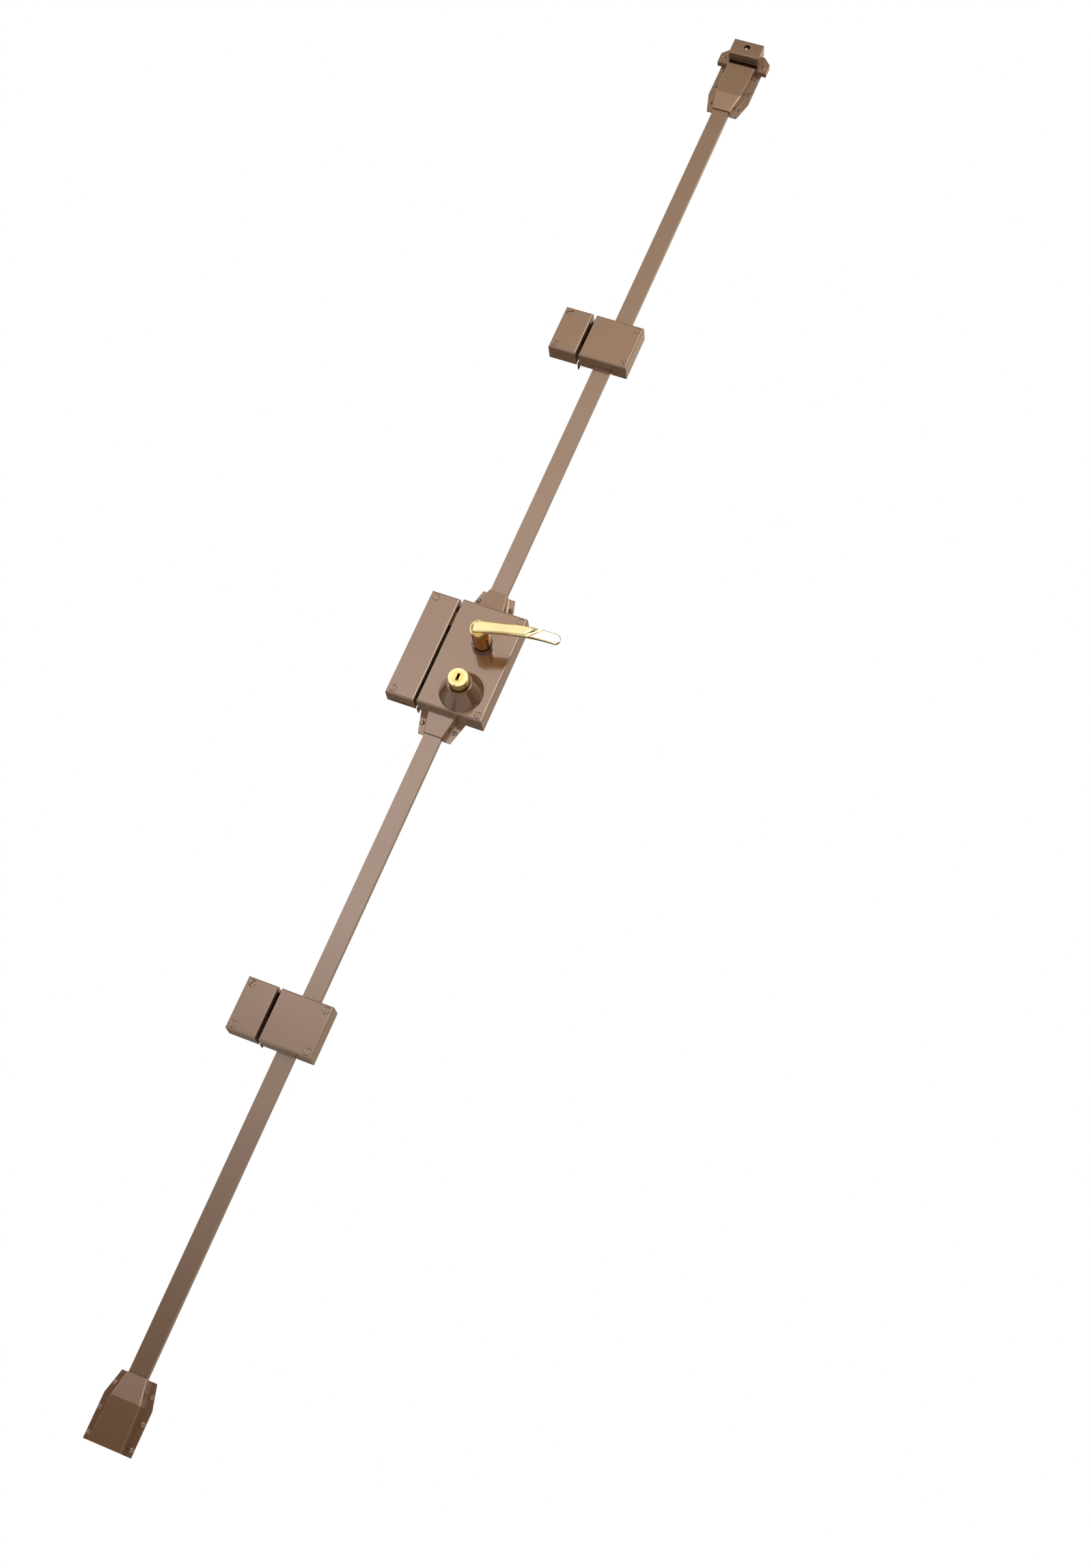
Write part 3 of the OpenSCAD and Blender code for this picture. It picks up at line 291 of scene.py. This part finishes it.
ALONG_X = (1.0, 30.0, 30.0)
ALONG_Z = (30.0, 30.0, 1.0)
EVEN = (20.0, 20.0, 20.0)
bolt_steel = drawn_steel("drawn_steel", 178, 176, 170, 0.30, ALONG_X)
rack_steel = drawn_steel("rack_steel", 158, 156, 150, 0.38, ALONG_Z)
bright_steel = drawn_steel("bright_steel", 208, 207, 202, 0.20, EVEN)
bronzed_steel = drawn_steel("bronzed_steel", 112, 88, 68, 0.36, ALONG_X)
zinc = drawn_steel("zinc_plate", 226, 223, 211, 0.34, EVEN, metal=0.6)
# The shutter is near white and mostly non-metal: a painted highlight that keeps it bright in its shaded
# slot.
shutter_painted_glint = drawn_steel("shutter_painted_glint", 238, 238, 240, 0.30, EVEN, metal=0.25)
# The back plates are black; where they show in the gap between keeper and case, their black is painted
# shade.
black_sheet_gap_shade = bronze_paint("black_sheet_gap_shade", 24, 23, 22, rough=0.42, peel=0.8, metal=0.0,
                           coat=0.1, coat_ior=1.45)

# %% [markdown]
# Each solid takes its finish by name. The solids keep their shapes, and only their material slots
# change.

# %% Dress the solids
# The cone guard's darker paint in this table is painted shade.
FINISHES = {
    "lever_handle": lever_brass,
    "cylinder_body": body_brass,
    "cylinder_plug": plug_brass,
    "keyway_shutter": shutter_painted_glint,
    "latch_bolt": bronzed_steel,
    "cylinder_guard": shaded_guard_brown,
    "handle_collar": collar_brown,
    "top_keeper_centre_screw": zinc,
    "upper_rod": rod_brown,
    "lower_rod": rod_brown,
    "latch_spring": bright_steel,
    "drive_pinion": rack_steel,
    "upper_rack": rack_steel,
    "lower_rack": rack_steel,
}
BY_SLOT = {
    "brown_paint": brown,
    "brass": lever_brass,
    "steel": bolt_steel,
    "black_plate": black_sheet_gap_shade,
}
slot_of = {s["node"]: s["material_slot"] for s in frame["record"]["subparts"]}
# Brown-painted screws get the lighter copy of the paint, which is painted light.
for node_name, solid in frame["nodes"].items():
    finish_material = FINISHES.get(node_name) or BY_SLOT[slot_of[node_name]]
    if node_name.endswith("_screws") and slot_of[node_name] == "brown_paint":
        finish_material = lit_screw_brown
    for material_slot in solid.material_slots:
        material_slot.material = finish_material
print("dressed", len(frame["nodes"]), "solids")

# %% [markdown]
# A real lever has no knife edges: it is ground, then buffed, and every edge ends up rolled over by
# a few tenths of a millimetre. Those thin rolls catch the light and draw the lever's outline, so the
# lever is taken over from its solid, its flat faces are joined up again, and its sharp edges get a
# narrow round bevel. The large front faces get a sloping rim, which shows as a gold line round the
# bright ground flat. They stay flat shaded themselves, so they mirror as true planes.

# %% The lever with rolled edges
LARGE_FACE = 0.0001
WELD = 0.000002
SAME_PLANE = math.radians(0.6)
CORNER = math.radians(40)
CREASE = math.radians(32)


def put_in_scene(name, data):
    """Makes an object from its data and links it to the scene."""
    thing = bpy.data.objects.new(name, data)
    bpy.context.collection.objects.link(thing)
    return thing


def rolled_edges(node_name, piece_name, roll, rounds, rim, rim_drop):
    source = frame["nodes"][node_name].data
    data = bpy.data.meshes.new(piece_name)
    data.from_pydata([v.co for v in source.vertices], [], [f.vertices[:] for f in source.polygons])
    mesh = bmesh.new()
    mesh.from_mesh(data)
    bmesh.ops.remove_doubles(mesh, verts=mesh.verts, dist=WELD)
    bmesh.ops.dissolve_limit(mesh, angle_limit=SAME_PLANE, verts=mesh.verts, edges=mesh.edges,
                             delimit=set())
    fronts = [f for f in mesh.faces if f.normal.y < -0.95 and f.calc_area() > 2 * LARGE_FACE]
    for front in fronts:
        outline = [v for v in front.verts if any(abs(f.normal.y) < 0.5 for f in v.link_faces)]
        bmesh.ops.inset_individual(mesh, faces=[front], thickness=rim, use_even_offset=True)
        for vert in outline:
            vert.co.y += rim_drop
    edges = [e for e in mesh.edges
             if len(e.link_faces) == 2 and e.calc_face_angle(0.0) > CORNER]
    bmesh.ops.bevel(mesh, geom=edges, offset=roll, offset_type="WIDTH", segments=rounds, profile=0.5,
                    affect="EDGES", clamp_overlap=True)
    for face in mesh.faces:
        face.smooth = face.calc_area() < LARGE_FACE
    for edge in mesh.edges:
        edge.smooth = len(edge.link_faces) == 2 and edge.calc_face_angle(0.0) < CREASE
    bmesh.ops.triangulate(mesh, faces=[f for f in mesh.faces if len(f.verts) > 4])
    mesh.to_mesh(data)
    mesh.free()
    piece = put_in_scene(piece_name, data)
    print(piece_name, "has", len(edges), "rolled edges and", len(data.polygons), "faces")
    return piece


lever = rolled_edges("lever_handle", "brass_lever", roll=0.0005, rounds=3, rim=0.0013, rim_drop=0.0007)
lever.data.materials.append(lever_brass)
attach(lever, "handle")
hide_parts("lever_handle")

# %% [markdown]
# The lever's neck leaves the case through a dark turned ring with a rolled lip. It is a lathe
# shape: one profile of radius and height, spun about the lever's axis.

# %% The ring round the neck
def shade_smooth(data, sharp_degrees):
    """Shades a mesh smooth, but leaves the edges that bend more than this angle sharp."""
    for face in data.polygons:
        face.use_smooth = True
    data.set_sharp_from_angle(angle=math.radians(sharp_degrees))


def turned_ring(name, profile, centre_x, centre_z, material, around=96):
    mesh = bmesh.new()
    rings = []
    for radius, y in profile:
        rings.append([mesh.verts.new((centre_x + radius * math.cos(2 * math.pi * k / around), y,
                                      centre_z + radius * math.sin(2 * math.pi * k / around)))
                      for k in range(around)])
    for a, b in zip(rings, rings[1:] + rings[:1]):
        for k in range(around):
            n = (k + 1) % around
            mesh.faces.new((a[k], a[n], b[n], b[k]))
    bmesh.ops.recalc_face_normals(mesh, faces=mesh.faces)
    data = bpy.data.meshes.new(name)
    mesh.to_mesh(data)
    mesh.free()
    shade_smooth(data, 40)
    data.materials.append(material)
    piece = put_in_scene(name, data)
    print(name, "has", len(data.polygons), "faces")
    return piece


handle_z = 0.023
collar_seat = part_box("handle_collar")[1][1]
collar_bore = 0.0120
collar_edge = 0.0138
collar_top = collar_seat - 0.0058
lip_round = 0.0007
bore_round = 0.0004
quarter_turn = [math.radians(15 * i) for i in range(7)]
lip = [(collar_edge - lip_round + lip_round * math.cos(a),
        collar_top + lip_round - lip_round * math.sin(a)) for a in quarter_turn]
inner = [(collar_bore + bore_round - bore_round * math.sin(a),
          collar_top + bore_round - bore_round * math.cos(a)) for a in quarter_turn]
ring_profile = [(collar_edge, collar_seat), *lip, *inner, (collar_bore, collar_seat)]
collar = turned_ring("collar_ring", ring_profile, axis_x, handle_z, collar_brown)
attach(collar, "lock_body")
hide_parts("handle_collar")

# %% [markdown]
# Inside the case a compression spring pushes the latch out. A coil follows one simple rule, so it
# comes from the Spiral curve of Geometry Nodes, swept with a round wire. The tree runs once, and
# its result is kept as a plain mesh. The coil's far end rests on a fixed post.

# %% The latch spring
def empty_tree(name, **inputs):
    """A Geometry Nodes tree with these inputs, its start and its end."""
    tree = bpy.data.node_groups.new(name, "GeometryNodeTree")
    face = tree.interface
    face.new_socket("Geometry", in_out="INPUT", socket_type="NodeSocketGeometry")
    for label, kind in inputs.items():
        face.new_socket(label.replace("_", " "), in_out="INPUT", socket_type="NodeSocket" + kind)
    face.new_socket("Geometry", in_out="OUTPUT", socket_type="NodeSocketGeometry")
    return tree, tree.nodes.new("NodeGroupInput"), tree.nodes.new("NodeGroupOutput")


def grow(holder, tree, inputs, sharp_degrees):
    """Runs a tree on an object and keeps the result as the object's own mesh."""
    setter = holder.modifiers.new(tree.name, "NODES")
    setter.node_group = tree
    for socket in tree.interface.items_tree:
        if socket.in_out == "INPUT" and socket.name in inputs:
            setter[socket.identifier] = inputs[socket.name]
    depsgraph = bpy.context.evaluated_depsgraph_get()
    depsgraph.update()
    grown = bpy.data.meshes.new_from_object(holder.evaluated_get(depsgraph))
    holder.modifiers.clear()
    holder.data = grown
    shade_smooth(grown, sharp_degrees)


def coil_maker():
    tree, start, end = empty_tree("coil", Turns="Float", Coil_Radius="Float", Wire_Radius="Float",
                                  Length="Float", Place="Vector", Finish="Material")
    spiral = tree.nodes.new("GeometryNodeCurveSpiral")
    spiral.inputs["Resolution"].default_value = 40
    wire = tree.nodes.new("GeometryNodeCurvePrimitiveCircle")
    wire.inputs["Resolution"].default_value = 14
    sweep = tree.nodes.new("GeometryNodeCurveToMesh")
    sweep.inputs["Fill Caps"].default_value = True
    lay = tree.nodes.new("GeometryNodeTransform")
    lay.inputs["Rotation"].default_value = (0.0, math.pi / 2, 0.0)
    real = tree.nodes.new("GeometryNodeRealizeInstances")
    paint = tree.nodes.new("GeometryNodeSetMaterial")
    link = tree.links.new
    link(start.outputs["Turns"], spiral.inputs["Rotations"])
    link(start.outputs["Coil Radius"], spiral.inputs["Start Radius"])
    link(start.outputs["Coil Radius"], spiral.inputs["End Radius"])
    link(start.outputs["Length"], spiral.inputs["Height"])
    link(start.outputs["Wire Radius"], wire.inputs["Radius"])
    link(spiral.outputs["Curve"], sweep.inputs["Curve"])
    link(wire.outputs["Curve"], sweep.inputs["Profile Curve"])
    link(sweep.outputs["Mesh"], lay.inputs["Geometry"])
    link(start.outputs["Place"], lay.inputs["Translation"])
    link(lay.outputs["Geometry"], real.inputs["Geometry"])
    link(real.outputs["Geometry"], paint.inputs["Geometry"])
    link(start.outputs["Finish"], paint.inputs["Material"])
    link(paint.outputs["Geometry"], end.inputs[0])
    return tree


spring_low, spring_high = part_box("latch_spring")
wire_radius = 0.00045
spring_length = spring_high[0] - spring_low[0]
spring = put_in_scene("coil_spring", bpy.data.meshes.new("coil_spring"))
coil_sizes = {
    "Turns": 5.0,
    "Coil Radius": (spring_high[2] - spring_low[2]) / 2 - wire_radius,
    "Wire Radius": wire_radius,
    "Length": spring_length - 2 * wire_radius,
    "Place": (spring_low[0] + wire_radius, (spring_low[1] + spring_high[1]) / 2,
              (spring_low[2] + spring_high[2]) / 2),
    "Finish": bright_steel,
}
grow(spring, coil_maker(), coil_sizes, 50)
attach(spring, "lock_body")
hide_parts("latch_spring")
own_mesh(spring)
print("the latch spring has", len(spring.data.polygons), "faces and is",
      round(spring_length * 1000, 1), "mm long")

# %% [markdown]
# Eighteen round-head wood screws hold the guides and the top keeper. One screw is modelled: a
# domed head with a straight slot cut across it, and a shank whose thread is a true helix. The
# shank is a grid of rings, and its radius follows the height and the angle together. The thread's
# core and ridge are written as shares of the shank's radius.

# %% One wood screw
HEAD_R = 0.0035
HEAD_H = 0.00266
SHANK_R = 0.00175
SCREW_LENGTH = 0.009
THREAD_PITCH = 0.0016
PLAIN_SHANK = 0.002
POINT_LENGTH = 0.004
UNDER_HEAD = 0.0004
CORE_SHARE = 0.68
RIDGE_SHARE = 0.32
RIDGE_SLOPE = 3.2
TIP_SHARE = 0.12


def thread_radius(depth, angle):
    phase = (depth / THREAD_PITCH - angle / (2 * math.pi)) % 1.0
    ridge = max(0.0, 1.0 - abs(phase - 0.5) * RIDGE_SLOPE)
    return SHANK_R * CORE_SHARE + SHANK_R * RIDGE_SHARE * ridge


def head_profile():
    """Radius and height of the head's outline, from its crown down to the shank."""
    ball_r = (HEAD_R ** 2 + HEAD_H ** 2) / (2 * HEAD_H)
    radii = [HEAD_R * (i + 1) / 8 for i in range(7)]
    dome = [(r, HEAD_H - ball_r + math.sqrt(ball_r ** 2 - r ** 2)) for r in radii]
    rim = [(HEAD_R - 0.0001, 0.00012), (HEAD_R, 0.00004), (HEAD_R - 0.00004, 0.0)]
    return dome + rim + [(SHANK_R, 0.0)]


def wood_screw_mesh(around=32, steps=48):
    angles = [2 * math.pi * k / around for k in range(around)]
    rings = [[point] * around for point in head_profile()]
    for j in range(steps + 1):
        depth = SCREW_LENGTH * j / steps + UNDER_HEAD
        taper = min(1.0, max(TIP_SHARE, (SCREW_LENGTH + UNDER_HEAD - depth) / POINT_LENGTH))
        if depth < PLAIN_SHANK:
            rings.append([(SHANK_R, -depth)] * around)
        else:
            rings.append([(thread_radius(depth, angle) * taper, -depth) for angle in angles])
    mesh = bmesh.new()
    grid = [[mesh.verts.new((r * math.cos(angle), -h, r * math.sin(angle)))
             for angle, (r, h) in zip(angles, ring)] for ring in rings]
    top = mesh.verts.new((0.0, -HEAD_H, 0.0))
    tip = mesh.verts.new((0.0, SCREW_LENGTH + UNDER_HEAD, 0.0))
    for k in range(around):
        n = (k + 1) % around
        mesh.faces.new((top, grid[0][k], grid[0][n]))
        mesh.faces.new((tip, grid[-1][n], grid[-1][k]))
        for a, b in zip(grid[:-1], grid[1:]):
            mesh.faces.new((a[k], b[k], b[n], a[n]))
    bmesh.ops.recalc_face_normals(mesh, faces=mesh.faces)
    data = bpy.data.meshes.new("wood_screw")
    mesh.to_mesh(data)
    mesh.free()
    return data


def slotted(data, slot_w=0.001, slot_d=0.0011, across=0.009):
    screw = put_in_scene("wood_screw_blank", data)
    cutter_mesh = bmesh.new()
    bmesh.ops.create_cube(cutter_mesh, size=1.0)
    bmesh.ops.scale(cutter_mesh, vec=(slot_w, slot_d * 2, across), verts=cutter_mesh.verts)
    bmesh.ops.translate(cutter_mesh, vec=(0, -HEAD_H, 0), verts=cutter_mesh.verts)
    cutter_data = bpy.data.meshes.new("slot_cutter")
    cutter_mesh.to_mesh(cutter_data)
    cutter_mesh.free()
    cutter = put_in_scene("slot_cutter", cutter_data)
    boolean = screw.modifiers.new("slot", "BOOLEAN")
    boolean.object = cutter
    boolean.operation = "DIFFERENCE"
    depsgraph = bpy.context.evaluated_depsgraph_get()
    result = bpy.data.meshes.new_from_object(screw.evaluated_get(depsgraph))
    bpy.data.objects.remove(cutter)
    bpy.data.objects.remove(screw)
    return result


screw_data = slotted(wood_screw_mesh())
print("one wood screw has", len(screw_data.polygons), "faces")

# %% [markdown]
# A guide has its screws in pairs, one on each flange. The pair at its narrow end stands closer
# together than the others, so each guide is written as the height of that end, the way it runs
# from there, and its rows. The top keeper has a screw in each ear. Each point also carries the
# angle of its slot, because no fitter leaves the slots in line.

# %% Where the wood screws go
FLANGE_FACE = -0.0015
NARROW_ROW = (0.015, 0.022338)
END_ROWS = [NARROW_ROW, (0.045, 0.0262), (0.074, 0.0262)]
GUIDES = [(0.9305, 1, END_ROWS), (-0.942, -1, END_ROWS),
          (0.1073, -1, [NARROW_ROW]), (-0.1073, 1, [NARROW_ROW])]
EAR_X, EAR_FACE, EAR_Z = 0.0305, -0.008, 1.024
DEGREES_PER_METRE = 25000


def guide_points(narrow_z, direction, rows):
    points = []
    for along, across in rows:
        for side in (-1, 1):
            slot_angle = math.radians(40 * side + DEGREES_PER_METRE * along)
            points.append((side * across, FLANGE_FACE, narrow_z + direction * along, slot_angle))
    return points


screw_points = [point for guide in GUIDES for point in guide_points(*guide)]
for side in (-1, 1):
    screw_points.append((side * EAR_X, EAR_FACE, EAR_Z, math.radians(30 * side)))
print(len(screw_points), "wood screws")

# %% [markdown]
# A Geometry Nodes tree sets the screw on every point. It ends by realizing the instances and
# setting the paint, so the result is one plain mesh.

# %% Set the screws with Geometry Nodes
def screw_setter():
    tree, start, end = empty_tree("set_screws", Screw="Object", Finish="Material")
    shape = tree.nodes.new("GeometryNodeObjectInfo")
    turn = tree.nodes.new("GeometryNodeInputNamedAttribute")
    turn.data_type = "FLOAT"
    turn.inputs["Name"].default_value = "turn"
    euler = tree.nodes.new("ShaderNodeCombineXYZ")
    spread = tree.nodes.new("GeometryNodeInstanceOnPoints")
    real = tree.nodes.new("GeometryNodeRealizeInstances")
    paint = tree.nodes.new("GeometryNodeSetMaterial")
    link = tree.links.new
    link(start.outputs["Screw"], shape.inputs["Object"])
    link(turn.outputs["Attribute"], euler.inputs["Y"])
    link(start.outputs["Geometry"], spread.inputs["Points"])
    link(shape.outputs["Geometry"], spread.inputs["Instance"])
    link(euler.outputs[0], spread.inputs["Rotation"])
    link(spread.outputs[0], real.inputs[0])
    link(real.outputs[0], paint.inputs["Geometry"])
    link(start.outputs["Finish"], paint.inputs["Material"])
    link(paint.outputs[0], end.inputs[0])
    return tree


def set_screws(name, points, data, material):
    cloud = bpy.data.meshes.new(name + "_points")
    cloud.from_pydata([p[:3] for p in points], [], [])
    turns = cloud.attributes.new("turn", "FLOAT", "POINT")
    turns.data.foreach_set("value", [p[3] for p in points])
    holder = put_in_scene(name, cloud)
    pattern = put_in_scene(name + "_pattern", data)
    grow(holder, screw_setter(), {"Screw": pattern, "Finish": material}, 35)
    bpy.data.objects.remove(pattern)
    print(name, "has", len(holder.data.polygons), "faces")
    return holder


wood_screws = set_screws("wood_screws", screw_points, screw_data, lit_screw_brown)
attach(wood_screws, "lock_body")
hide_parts("top_guide_screws", "bottom_guide_screws", "upper_case_guide_screws",
            "lower_case_guide_screws", "top_keeper_screws")

# %% [markdown]
# The photograph was taken from below and from the right, standing well back. The camera sits at
# the place that was worked out from the photograph's own lines, with the same angle of view.

# %% Camera
camera_data = bpy.data.cameras.new("camera")
camera_data.lens = 49.585
camera_data.sensor_width = 36.0
camera_data.clip_end = 50.0
camera = put_in_scene("camera", camera_data)
right = Vector((0.92402, 0.07772, 0.37436))
up = Vector((-0.31396, -0.40455, 0.85893))
ahead = Vector((-0.21820, 0.91121, 0.34941))
turned = Matrix((right, up, -ahead)).transposed().to_4x4()
standpoint = (0.73530, -2.42565, -1.04642)
camera.matrix_world = Matrix.Translation(standpoint) @ turned
bpy.context.scene.camera = camera
print("camera stands", round(camera.location.length, 2), "m away")

# %% [markdown]
# The lock floats before a white backdrop, as in a catalogue, and a plain pale floor lies well
# below it.

# %% Floor
floor_data = bpy.data.meshes.new("floor")
floor_z = -1.3
floor_corners = [(-2.4, -3.2), (2.4, -3.2), (2.4, 1.5), (-2.4, 1.5)]
floor_data.from_pydata([(x, y, floor_z) for x, y in floor_corners], [], [(0, 1, 2, 3)])
floor = put_in_scene("floor", floor_data)
pale = Recipe("pale_floor")
floor_data.materials.append(pale.finish(
    Base_Color=pale.ramp(pale.noise(2.0), [(0.3, (0.70, 0.70, 0.70)), (0.7, (0.74, 0.74, 0.74))]),
    Roughness=0.7,
))
print("the floor lies at", floor_z, "m")

# %% [markdown]
# Glossy paint and brass show what stands round them, so the world is drawn as a small studio. The
# camera sees plain white. Mirrored rays see a band of light in front, which is dark at the horizon
# and brightest a quarter of the way up, a bright pane for the lever's flat, and a wide light for
# the folded edges. Behind them stands a dimmer, warmer wall. Each level is written for a height,
# where -1 is straight down and 1 straight up. All other rays see one soft gradient, which is
# brighter from above.

# %% World
world = bpy.data.worlds.new("studio")
bpy.context.scene.world = world
world.use_nodes = True
studio = Bench(world.node_tree)
background = world.node_tree.nodes["Background"]
side, depth, height = studio.split(studio.add("ShaderNodeTexCoord"))
in_front = (0.5 - depth * 8.0).clamped()
FRONT_BAND = ((-0.70, 0.30), (-0.52, 0.85), (-0.14, 0.85), (-0.04, 0.04), (0.018, 0.03), (0.058, 0.15),
              (0.10, 0.35), (0.19, 0.84), (0.266, 1.47), (0.335, 1.39), (0.385, 1.23), (0.43, 1.18),
              (0.484, 1.00), (0.54, 0.82), (0.604, 0.71), (0.65, 0.42), (0.95, 0.25))
BACK_WALL = ((-0.30, 0.14), (-0.05, 0.22), (0.06, 0.38), (0.38, 0.42), (0.52, 0.60), (0.80, 0.80))


def levels(stops):
    """A level for each height. A ramp stops at 1, so levels go in halved and come out doubled."""
    halved = [(at * 0.5 + 0.5, (level / 2,) * 3) for at, level in stops]
    return studio.ramp(height * 0.5 + 0.5, halved) * 2.0


def window(value, low, high, rise, fall):
    """1 inside low and high, 0 outside them. A larger rise or fall makes that edge sharper."""
    return ((value - low) * rise).clamped() * ((high - value) * fall).clamped()


band = levels(FRONT_BAND)
backdrop = levels(BACK_WALL)
pane = window(side, -0.185, 0.10, 30.0, 12.0) * window(height, 0.26, 0.60, 14.0, 14.0)
edge_light = window(side, -0.16, 0.62, 20.0, 10.0) * window(height, 0.20, 0.64, 14.0, 14.0)
PANE_LEVEL = 3.5
EDGE_LEVEL = 0.9
behind = 1 - in_front
shown = in_front * (band + pane * PANE_LEVEL + edge_light * EDGE_LEVEL) + behind * backdrop
plain = height * 0.35 + 0.62
seen = studio.add("ShaderNodeLightPath", output=0)
mirrored = studio.add("ShaderNodeLightPath", output=3) + studio.add("ShaderNodeLightPath", output=6)
level = seen + (1 - seen) * (mirrored * shown + (1 - mirrored) * plain)
plug(world.node_tree, background.inputs["Strength"], level)
overhead = ((height - 0.36) * 5.0).clamped() * in_front
warm = studio.add("ShaderNodeCombineXYZ", X=1.0, Y=1.0 - mirrored * (overhead * 0.09 + behind * 0.19),
                  Z=1.0 - mirrored * (overhead * 0.26 + behind * 0.38))
plug(world.node_tree, background.inputs["Color"], warm)
print("the world uses", len(world.node_tree.nodes), "nodes")

# %% [markdown]
# Two large soft lamps give the faces their shading: one from the front left, high up, and a
# weaker, warmer one from the right. They don't show in reflections, because the world already
# draws those.

# %% Softboxes
def softbox(name, place, target, wide, high, watts, tint=(1, 1, 1)):
    lamp_data = bpy.data.lights.new(name, "AREA")
    lamp_data.shape = "RECTANGLE"
    lamp_data.size = wide
    lamp_data.size_y = high
    lamp_data.energy = watts
    lamp_data.color = tint
    lamp = put_in_scene(name, lamp_data)
    lamp.location = place
    lamp.rotation_euler = (Vector(target) - Vector(place)).to_track_quat("-Z", "Y").to_euler()
    lamp.visible_glossy = False
    print(name, "gives", watts, "W")


softbox("front_box", place=(-1.3, -4.2, 1.9), target=(0, 0, 0.1), wide=2.4, high=1.8, watts=12)
softbox("right_box", place=(3.2, -0.6, 0.6), target=(0, 0, 0), wide=1.2, high=3.0, watts=10,
        tint=(1.0, 0.98, 0.90))

bpy.context.scene.view_settings.view_transform = "Standard"
